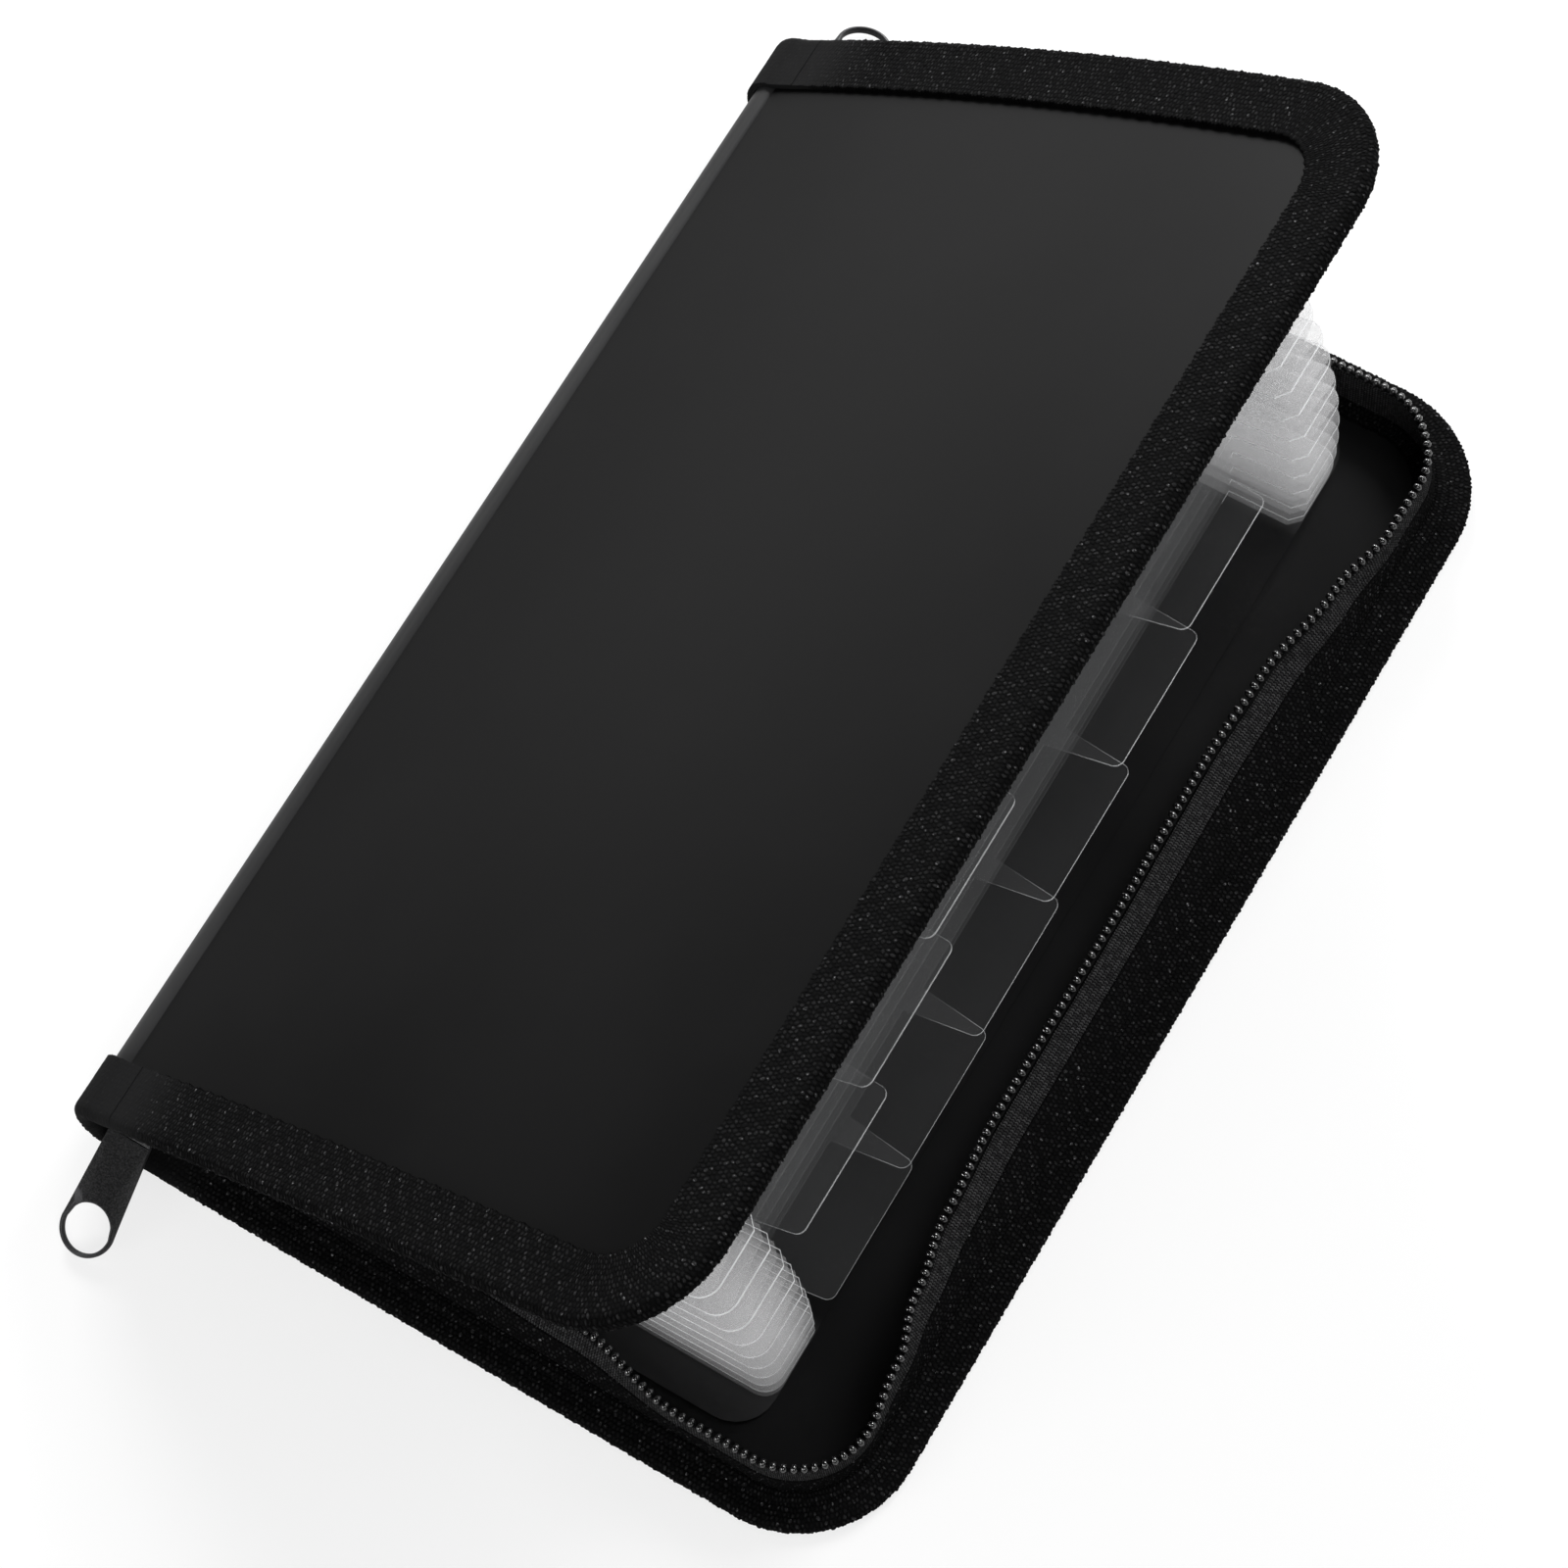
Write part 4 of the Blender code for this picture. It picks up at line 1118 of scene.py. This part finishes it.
    def gusset(self, pocket: int) -> None:
        """Builds the folded film at both ends of a pocket and the strip that joins them at the spine."""
        trim = SHAPE.gusset_corner - SHAPE.film_gap
        bend = np.linspace(0, math.pi / 2, 8)
        straight = np.linspace(SHAPE.divider_start, SHAPE.gusset_reach - trim, 14)[:-1]
        along = np.concatenate([straight, SHAPE.gusset_reach - trim + trim * np.sin(bend)])
        corner = np.concatenate([0 * straight, trim * (1 - np.cos(bend))])
        inward, share = self.leaf(pocket, along, corner)
        far = np.broadcast_to(along[:, None], inward.shape)
        skin = Skin()
        for side in Side:
            y = side.value * (SHAPE.half_divider - inward)
            points = self.pocket_point(pocket, far, y, share)
            skin.grid(points, np.stack([far, y], -1), round_v=True, capped=True)
        wide = np.linspace(-self.strip_half, self.strip_half, 9)[:, None]
        depth = SHAPE.divider_start + SHAPE.gusset_film * np.array([0, 0, 1, 1])
        wide, depth, tall = np.broadcast_arrays(wide, depth, np.array([0.06, 0.94, 0.94, 0.06]))
        strip = self.pocket_point(pocket, depth, wide, tall)
        skin.grid(strip, np.stack([depth, depth], -1), round_v=True, capped=True)
        film = self.frost if pocket < self.dense_from else self.dense
        piece = skin.piece(f"gusset_film_{pocket + 1:02d}", film, smooth=30.0)
        self.bend(piece, pocket)
        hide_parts(f"pocket_gusset_{pocket + 1:02d}")

    def bend(self, piece: bpy.types.Object, pocket: int) -> None:
        """Bakes a gusset's place into its mesh.

        It works out the places at the mouth on the pocket's two sheets, but nothing reads them, and the
        gusset does not follow its sheets as the fan opens.
        """
        reach = SHAPE.gusset_reach
        ends = [self.pocket_point(pocket, np.array([reach]), np.zeros(1), np.array([share]))[0]
                for share in (0.0, 1.0)]
        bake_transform(piece)

    def build(self) -> None:
        """Builds all dividers and pockets."""
        for level in range(1, SHAPE.pockets):
            self.divider(level)
        for pocket in range(SHAPE.pockets):
            self.gusset(pocket)


@dataclass(frozen=True)
class Eased:
    """A value along a zip's run, eased from one place to the next."""

    places: tuple[float, ...]
    values: tuple[float, ...]

    def at(self, where: Array) -> Array:
        """The value at shares of the run."""
        places, values = np.array(self.places), np.array(self.values)
        step = np.clip(np.searchsorted(places, where, side="right") - 1, 0, places.size - 2)
        part = np.clip((where - places[step]) / (places[step + 1] - places[step]), 0, 1)
        return values[step] + (values[step + 1] - values[step]) * part * part * (3 - 2 * part)


REAR_LEAN = Eased((0.0, 0.10, 0.15, 0.20, 0.25, 0.30, 0.325, 0.35, 0.38, 0.42, 0.50, 0.575, 0.61, 0.65, 0.68,
                   0.73, 0.775, 0.83, 0.91, 1.0),
                  (0.72, 0.66, 0.50, 0.08, 0.08, 0.02, 0.16, 0.46, 0.71, 0.85, 0.85, 0.90, 0.80, 0.46, 0.18,
                   0.12, 0.02, 0.02, 0.60, 0.72))
REAR_FREE = Eased((0.0, 0.12, 0.88, 1.0), (1.0, 1.23, 1.23, 1.0))
FRONT_LEAN = Eased((0.0, 0.5, 1.0), (0.88, 0.94, 0.88))
FRONT_FREE = Eased((0.0, 1.0), (1.0, 1.0))
# A tooth's heights off the coil's middle line, and its radius at each.
BEAD = np.array([(-0.00088, -0.00074, -0.00044, -0.00008, 0.00026, 0.00050, 0.00062),
                 (0.00026, 0.00042, 0.00056, 0.00060, 0.00052, 0.00034, 0.00013)])


@dataclass
class ZipHalf:
    """One side of the zip: a sewn foot, a leaning leaf and the coil along its free edge."""

    label: str
    body: str
    lean: Eased
    free: Eased
    facing: int
    put: Callable[..., Array]
    tape: bpy.types.Material
    nylon: bpy.types.Material
    webbing: bpy.types.Material
    seam: float = 0.0055
    foot: float = 0.002
    width: float = 0.0065
    cloth: float = 0.0005
    coil_radius: float = 0.0009
    clear: float = 0.0113
    pitch: float = 0.00135
    covered: float = 0.52
    raised: float = 0.00022
    fold: float = 0.0012
    seated: float = 0.0004
    rolled: float = 0.55
    rows: int = 420
    end_from: float = -0.003
    end_inset: float = 0.0115
    cord_drop: float = 0.00078
    cord_radius: float = 0.00028
    bead_along: float = 0.92
    bead_across: float = 1.10

    @property
    def foot_height(self) -> float:
        """Height of the middle of the sewn foot off the cover's sheet."""
        return SHAPE.high_face + SHAPE.laid_gap + self.cloth / 2

    def leaf_point(self, walk: tuple[Array, ...], reach: Array, lift: Array) -> Array:
        """A point of the leaf.

        Args:
            walk: the edge walk's length, place and outward direction.
            reach: length up the leaf from its seam; below zero it lies along the foot.
            lift: height off the leaf's middle, on its outer side.

        Returns:
            Places in the frame.
        """
        walked, x, y, out_x, out_y = (part[:, None] for part in walk)
        lean = self.lean.at(walked / walked.max())
        stand = np.sqrt(1 - lean * lean)
        on_leaf = np.clip(reach, 0, None)
        on_foot = np.clip(reach, None, 0)
        soft = np.clip(reach / self.fold + 0.5, 0, 1)
        side_in, side_up = -stand * soft, lean * soft + (1 - soft)
        size = np.hypot(side_in, side_up)
        inward = self.seam + on_foot + on_leaf * lean + lift * side_in / size
        height = self.foot_height + on_leaf * stand + lift * side_up / size
        return self.put(x - out_x * inward, y - out_y * inward, self.facing * height)

    def build_tape(self) -> None:
        """Builds the tape as one closed ribbon, with a rolled edge at the coil.

        The cover's webbing runs on over the leaf's lower part and ends in a small step.
        """
        walk = SHAPE.edge(self.clear, self.rows)
        wide = self.width * self.free.at(walk[0] / walk[0].max())[:, None]
        foot = np.linspace(-self.foot, 0, 6)
        webbed, bare = np.linspace(0, self.covered, 8), np.linspace(self.covered + 0.015, 1, 7)
        leaf = self.seated + (wide - self.seated) * np.concatenate([webbed, bare])
        reach = np.concatenate([np.broadcast_to(foot, (self.rows, foot.size)), leaf], 1)
        thick = np.full(reach.shape, self.cloth / 2)
        thick[:, [0, -1]] *= self.rolled
        slot = (np.arange(2 * reach.shape[1]) < foot.size + webbed.size).astype(int)
        top = self.leaf_point(walk, reach, thick + self.raised * slot[:reach.shape[1]])
        low = self.leaf_point(walk, reach[:, ::-1], -thick[:, ::-1])
        along = np.broadcast_to(walk[0][:, None], reach.shape)
        lay = np.stack([along, reach + self.foot], -1)
        skin = Skin()
        skin.grid(np.concatenate([top, low], 1), np.concatenate([lay, lay[:, ::-1]], 1), round_v=True,
                  slot=slot, capped=True)
        piece = skin.piece(f"{self.label}_zip_cloth", self.tape, self.webbing, smooth=50.0)
        stand_in(piece, self.body, f"{self.label}_zip_tape")
        length, across = float(walk[0][-1]), float(wide.mean()) + self.foot
        across * length

    def middle(self) -> tuple[Array, Array]:
        """Middle line of the coil and the leaf's direction, at each tooth.

        The rear coil has straight ends that lie in the sliders' channel.
        """
        walk = SHAPE.edge(self.clear, 1200)
        edge = self.width * self.free.at(walk[0] / walk[0].max())[:, None] + SHAPE.laid_gap + self.cloth / 2
        none = np.zeros((1, 1))
        line = self.leaf_point(walk, edge + self.coil_radius, none)[:, 0]
        rise = (line - self.leaf_point(walk, edge, none)[:, 0]) / self.coil_radius
        if self.label == "rear":
            stand = math.sqrt(1 - self.lean.values[0] ** 2)
            reach = self.width + SHAPE.laid_gap + self.cloth / 2 + self.coil_radius
            lane = self.foot_height + reach * stand
            x = np.linspace(self.end_from, self.clear, 40)[:-1]
            ends = [self.put(x, side.value * (SHAPE.length / 2 - self.end_inset), lane) for side in Side]
            line = np.concatenate([ends[0], line, ends[1][::-1]])
            rise = np.concatenate([np.repeat(rise[:1], x.size, 0), rise, np.repeat(rise[-1:], x.size, 0)])
        walked = np.concatenate([[0], np.cumsum(np.linalg.norm(np.diff(line, axis=0), axis=1))])
        even = np.linspace(self.pitch / 2, walked[-1] - self.pitch / 2, int(walked[-1] / self.pitch))
        line, rise = (np.stack([np.interp(even, walked, part[:, axis]) for axis in range(3)], -1)
                      for part in (line, rise))
        return line, rise

    def build_coil(self) -> None:
        """Builds the coil: a turn of filament at each tooth on a cord along the tape's edge.

        A turn stands on the leaf's edge: a round bead, widest at its middle.
        """
        line, rise = self.middle()
        ahead = unit(np.gradient(line, axis=0))
        across = unit(np.cross(ahead, rise))
        height, radius = BEAD[:, :, None, None]
        angle = np.linspace(0, 2 * math.pi, 8, endpoint=False)[:, None]
        side = np.cos(angle) * ahead[:, None] * self.bead_along
        side = side + np.sin(angle) * across[:, None] * self.bead_across
        points = line[:, None, None] + height * rise[:, None, None] + radius * side[:, None]
        skin = Skin()
        skin.many(points)
        cord = tube(line - rise * self.cord_drop, self.cord_radius, 5)
        skin.grid(cord, round_v=True, capped=True, slot=1)
        piece = skin.piece(f"{self.label}_zip_teeth", self.nylon, self.tape, smooth=80.0)
        stand_in(piece, self.body, f"{self.label}_zip_coil")

    def build(self) -> None:
        """Builds the tape and the coil."""
        self.build_tape()
        self.build_coil()


@dataclass
class ZipEnd:
    """One slider parked at the spine, with its bail, link ring and pull."""

    side: Side
    metal: bpy.types.Material
    middle_x: float = 0.002
    lane: float = 0.010413
    inset: float = 0.0115
    half_depth: float = 0.0022
    channel: float = 0.0012
    half_width: float = 0.004
    half_web: float = 0.0016
    pivot_out: float = 0.0041
    bail_foot: float = 0.0017
    bail_half: float = 0.0028
    bail_wire: float = 0.00045
    ring_radius: float = 0.002
    ring_wire: float = 0.0004
    pull_reach: float = 0.0240
    pull_droop: float = math.radians(23.742)
    half_sheet: float = 0.00045
    end_radius: float = 0.0041
    hole_radius: float = 0.0035
    hole_lip: float = 0.00014
    eye_radius: float = 0.00075
    eye_web: float = 0.0008
    half_root: float = 0.0023
    half_pull: float = 0.0033
    neck: float = 0.0030

    @property
    def ring_middle(self) -> float:
        """How far the ring's middle hangs from the pivot."""
        return self.ring_radius - self.ring_wire - self.bail_wire - SHAPE.laid_gap

    def put(self, x: Array, out: Array, up: Array) -> Array:
        """Puts points of the slider, given by how far out of the folder's end they are, into the frame."""
        x, out, up = np.broadcast_arrays(x, out, up)
        y = self.side.value * (SHAPE.length / 2 - self.inset + out)
        return np.stack([x + self.middle_x + SHAPE.shift, y, up + self.lane], -1)

    def hang(self, x: Array, out: Array, up: Array) -> Array:
        """Puts points of the pull, given along its length, into the frame as it droops."""
        x, out, up = np.broadcast_arrays(x, out, up)
        turn = self.pull_droop
        along = self.pivot_out + out * math.cos(turn) + up * math.sin(turn)
        return self.put(x, along, up * math.cos(turn) - out * math.sin(turn))

    def plate(self, inner: float, outer: float) -> Array:
        """One plate of the slider: a pillow whose half width follows its length.

        Rows go along the slider, columns round a rounded box of that width.
        """
        share = np.array([0.0, 0.02, 0.06, 0.12, 0.25, 0.45, 0.62, 0.74, 0.85, 0.94, 0.98, 1.0])
        wide = np.array([0.60, 0.68, 0.74, 0.79, 0.82, 0.84, 0.88, 0.95, 1.0, 0.97, 0.92, 0.84])
        x = 0.010 * (share - 0.5)
        angle = np.linspace(0, 2 * math.pi, 24, endpoint=False)
        round_y, round_z = blunt(np.cos(angle), 0.45), blunt(np.sin(angle), 0.45)
        ends = np.minimum(1, np.sqrt(np.minimum(share, 1 - share) * 20 + 0.25))
        middle, half = (inner + outer) / 2, abs(outer - inner) / 2
        out = middle + round_y[None] * half * ends[:, None]
        up = wide[:, None] * self.half_width * round_z[None]
        return self.put(x[:, None], out, up)

    def slider(self) -> None:
        """Builds the two plates, the web between them and the wire bail."""
        skin = Skin()
        for inner, outer in ((self.channel, self.half_depth), (-self.half_depth, -self.channel)):
            skin.grid(self.plate(inner, outer), round_v=True, capped=True)
        angle = np.linspace(0, 2 * math.pi, 16, endpoint=False)
        web_x, web_up = 0.0046 * blunt(np.cos(angle), 0.6), 0.0007 * blunt(np.sin(angle), 0.6)
        out = np.linspace(-self.half_web, self.half_web, 3)[:, None]
        skin.grid(self.put(web_x[None], out, web_up[None]), round_v=True, capped=True)
        turn = np.linspace(0, math.pi, 25)
        path_x = -self.bail_half * blunt(np.cos(turn), 0.55)
        path_out = self.bail_foot + (self.pivot_out - self.bail_foot) * np.sin(turn) ** 0.55
        skin.grid(tube(self.put(path_x, path_out, 0 * path_x), self.bail_wire, 8), round_v=True, capped=True)
        piece = skin.piece(f"slider_{self.side.label}_body", self.metal, smooth=45.0)
        stand_in(piece, f"slider_{self.side.label}", f"zip_slider_{self.side.label}")

    def ring(self) -> None:
        """Builds the link ring as a wire bent round."""
        angle = np.linspace(0, 2 * math.pi, 32, endpoint=False)
        out, up = self.ring_middle + self.ring_radius * np.cos(angle), self.ring_radius * np.sin(angle)
        skin = Skin()
        wire = tube(self.hang(0 * angle, out, up), self.ring_wire, 10, closed=True)
        skin.grid(wire, round_u=True, round_v=True)
        piece = skin.piece(f"link_ring_{self.side.label}", self.metal, smooth=80.0)
        stand_in(piece, f"pull_{self.side.label}", f"zip_ring_{self.side.label}")

    def washer(self, outline: tuple[Array, Array], hole: float, centre: float, lip: float) -> Array:
        """A plate round a hole.

        Rows go round it; columns go up the hole's wall, over a raised lip, across the face, down the
        rounded outer wall and back under.

        Args:
            outline: x and out of the outer wall, as many points as rows.
            hole: radius of the hole.
            centre: out place of the hole's middle.
            lip: height of the raised lip round the hole.

        Returns:
            The grid of points.
        """
        wide, out = outline
        angle = np.arctan2(out - centre, wide)
        hole_x, hole_out = hole * np.cos(angle), centre + hole * np.sin(angle)
        reach = np.hypot(wide - hole_x, out - hole_out)[:, None]
        lane = np.array([0, 0.00008, 0.00025, 0.00045, 0.0006])[None]
        lane = np.minimum(lane, reach * 0.45)
        tail = reach - np.minimum(np.array([0.0003, 0.0001, 0.0])[None], reach * 0.4)
        place = np.concatenate([lane, tail], 1)
        half = self.half_sheet
        high = np.array([half - 0.0001, half + lip * 0.7, half + lip, half + lip * 0.6, half, half,
                         half - 0.00005, half - 0.00022])
        place = np.concatenate([place, place[:, ::-1]], 1)
        high = np.concatenate([high, -high[::-1]])
        share = place / reach
        x = hole_x[:, None] + (wide - hole_x)[:, None] * share
        along = hole_out[:, None] + (out - hole_out)[:, None] * share
        return self.hang(x, along, high[None])

    def pull(self) -> None:
        """Builds the pull: an eye plate at its root and a finger-hole plate, with straight sides."""
        eye = self.ring_middle + self.ring_radius
        root, hole = eye - self.eye_radius - self.eye_web, self.pull_reach - self.end_radius
        half_root, half_wide, split = self.half_root, self.half_pull, eye + self.neck
        shoulder, below = 0.0040, hole - 0.0012
        turn = np.linspace(0, math.pi, 49)
        wide = np.concatenate([self.end_radius * np.cos(turn), np.linspace(-shoulder, -half_wide, 14)[1:],
                               np.linspace(-half_wide, half_wide, 12)[1:-1],
                               np.linspace(half_wide, shoulder, 14)[:-1]])
        out = np.concatenate([hole + self.end_radius * np.sin(turn), np.linspace(below, split, 14)[1:],
                              np.full(10, split), np.linspace(split, below, 14)[:-1]])
        skin = Skin()
        skin.grid(self.washer((wide, out), self.hole_radius, hole, self.hole_lip), round_u=True, round_v=True)
        low = np.linspace(0, math.pi, 13)
        round_end, flare = 0.0012, half_root + 0.0004
        shift = root + round_end
        wide = np.concatenate([-half_root * np.cos(low), [flare], np.linspace(half_wide, -half_wide, 10),
                               [-flare]])
        out = np.concatenate([shift - round_end * np.sin(low) ** 0.7, [shift + 0.0014], np.full(10, split),
                              [shift + 0.0014]])
        skin.grid(self.washer((wide, out), self.eye_radius, eye, 0.0), round_u=True, round_v=True)
        piece = skin.piece(f"pull_tab_{self.side.label}", self.metal, smooth=35.0)
        stand_in(piece, f"pull_{self.side.label}", f"zip_pull_{self.side.label}")

    def build(self) -> None:
        """Builds the slider, its ring and its pull."""
        self.slider()
        self.ring()
        self.pull()


@dataclass
class Lamp:
    """One soft rectangular lamp that looks at the folder."""

    name: str
    place: tuple[float, float, float]
    width: float
    height: float
    power: float
    target: tuple[float, float, float] = (0.0, 0.0, 0.03)

    def build(self) -> None:
        """Adds the lamp to the scene."""
        data = bpy.data.lights.new(self.name, "AREA")
        data.shape = "RECTANGLE"
        data.size, data.size_y, data.energy = self.width, self.height, self.power
        away = unit(np.array(self.place) - np.array(self.target))
        right = unit(np.cross((0.0, 0.0, 1.0), away))
        aim(placed(self.name, data), right, np.cross(away, right), away, self.place)


@dataclass
class Studio:
    """Pale floor, white background, soft lamps and the camera."""

    lamps: Sequence[Lamp]
    ambient: float = 0.45
    ceiling: float = 0.20
    room: float = 0.05
    room_from: float = 0.0
    room_to: float = 0.50
    ground: float = 0.35
    glow: float = 0.70
    eye: tuple[float, float, float] = (0.14125964, -0.1582243, 0.56494622)
    right: tuple[float, float, float] = (0.85494881, 0.51290972, -0.0773702)
    down: tuple[float, float, float] = (0.45964486, -0.81824434, -0.3452576)
    ahead: tuple[float, float, float] = (-0.2403937, 0.25961476, -0.93531334)
    lens: float = 99.593

    def camera(self) -> None:
        """Adds the camera at the photograph's place."""
        data = bpy.data.cameras.new("camera")
        data.lens, data.sensor_width = self.lens, 36.0
        data.clip_start, data.clip_end = 0.01, 20.0
        thing = placed("camera", data)
        aim(thing, self.right, -np.array(self.down), -np.array(self.ahead), self.eye)
        bpy.context.scene.camera = thing

    def rays(self, graph: Graph) -> tuple[Wire, Wire]:
        """1 for rays from the camera, and 1 for rays from a gloss or through a clear piece."""
        path = graph.node("ShaderNodeLightPath", {}, {})
        passed = graph.out(path, "Is Glossy Ray") + graph.out(path, "Is Transmission Ray")
        straight = graph.out(path, "Is Camera Ray")
        return straight, passed.at_most(1 - straight)

    def world(self) -> None:
        """Makes a plain surrounding.

        It is white where it is seen. In a gloss it is white towards the lamps, and darker overhead and away
        from them, like a ceiling and the room behind.
        """
        world = bpy.data.worlds.new("studio")
        graph = Graph(world)
        where = graph.out(graph.node("ShaderNodeTexCoord", {}, {}), "Generated")
        part = graph.node("ShaderNodeSeparateXYZ", {}, {0: where})
        wall = 1 - graph.out(part, 2).ease(0.35, 0.80) * (1 - self.ceiling)
        wall = wall * (graph.out(part, 1).ease(self.room_from, self.room_to) * (1 - self.room) + self.room)
        straight, passed = self.rays(graph)
        strength = self.ambient + straight * (1 - self.ambient) + passed * (wall - self.ambient)
        back = graph.node("ShaderNodeBackground", {}, {"Color": (1.0, 1.0, 1.0), "Strength": strength})
        graph.node("ShaderNodeOutputWorld", {}, {"Surface": graph.out(back)})
        bpy.context.scene.world = world

    def floor(self) -> None:
        """Makes the floor, pale and mostly plain white to the camera, with the folder's shadow kept."""
        graph = Graph.named("floor")
        grain = graph.noise(40.0, 2.0)
        pale = graph.mix(grain, (0.80, 0.80, 0.80), (0.82, 0.82, 0.82))
        plain = graph.shader(Base_Color=pale, Roughness=0.9)
        straight, passed = self.rays(graph)
        glow = graph.node("ShaderNodeEmission", {}, {
            "Color": graph.mix(passed, (1.0, 1.0, 1.0), (self.ground,) * 3), "Strength": 1.0})
        share = straight * self.glow + passed * self.glow
        mixed = graph.node("ShaderNodeMixShader", {}, {0: share, 1: plain, 2: graph.out(glow)})
        material = graph.finish(graph.out(mixed))
        mesh = bpy.data.meshes.new("floor")
        half, low = 3.0, -0.0002
        corners = [(-half, -half, low), (half, -half, low), (half, half, low), (-half, half, low)]
        mesh.from_pydata(corners, [], [(0, 1, 2, 3)])
        mesh.materials.append(material)
        placed("floor", mesh)

    def build(self) -> None:
        """Sets up the studio."""
        self.camera()
        self.world()
        self.floor()
        for lamp in self.lamps:
            lamp.build()
        scene = bpy.context.scene
        scene.view_settings.view_transform = "Standard"
        scene.cycles.transparent_max_bounces = 128


def main() -> None:
    """Builds the studio and every sub-assembly."""
    logging.basicConfig(level=logging.INFO, format="%(name)s: %(message)s")
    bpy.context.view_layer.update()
    Studio([
        Lamp("key", (-0.62, 0.66, 0.50), 0.36, 0.28, 9.0),
        Lamp("wall", (-0.88, 0.50, 0.20), 0.8, 0.4, 2.5),
        Lamp("near", (-0.36, -0.82, 0.26), 0.5, 0.3, 3.5),
        Lamp("back", (0.16, 0.56, 0.55), 0.35, 0.25, 5.0),
        Lamp("fill", (0.70, -0.70, 0.90), 0.6, 0.6, 5.0),
    ]).build()

    plastic = SheetPlastic("cover_plastic", (0.0013, 0.0013, 0.0014), 0.36, 0.057)
    # The spine plastic is a paler copy of the cover plastic: painted sheen of the curved spine.
    bent = SheetPlastic("spine_plastic", (0.0180, 0.0180, 0.0184), 0.40, 0.057)
    # The inner plastic is a paler copy of the cover plastic: painted light that lifts the shade near the
    # coil.
    inside = SheetPlastic("inner_plastic", (0.0052, 0.0052, 0.0054), 0.26, 0.16, dust=0.1)
    # The smoke film's paler ends are a painted reflection of the bright ears beside them.
    smoke = SheetPlastic("smoke_film", (0.0046, 0.0046, 0.0048), 0.26, 0.16, dust=0.1,
                         ends=(0.0215, 0.0215, 0.0220))
    webbing = Webbing("woven_tape").make()
    Covers(plastic.make(), bent.make(), inside.make(), smoke.make()).build()
    Bindings(webbing).build()

    sheet = Film("clear_film", (0.62, 0.63, 0.64), 0.012, streaks=0.2).make()
    # The frosted films' near colours paint them paler towards the near end: painted light.
    frost = Film("frosted_film", (0.43, 0.43, 0.435), 0.070, roughness=0.45, streaks=0.3,
                 near=(0.555, 0.555, 0.56)).make()
    dense = Film("frosted_film_top", (0.43, 0.43, 0.435), 0.150, roughness=0.45, streaks=0.3,
                 near=(0.55, 0.55, 0.555)).make()
    Accordion(sheet, frost, dense, FilmEdge("film_edge").make()).build()

    knit, nylon = Knit("zip_tape").make(), Filament("zip_nylon").make()
    ZipHalf("rear", "root", REAR_LEAN, REAR_FREE, 1, SHAPE.rear, knit, nylon, webbing).build()
    ZipHalf("front", "front_cover", FRONT_LEAN, FRONT_FREE, -1, SHAPE.front, knit, nylon, webbing).build()
    metal = Enamel("black_metal").make()
    for side in Side:
        ZipEnd(side, metal).build()


if __name__ == "__main__":
    main()
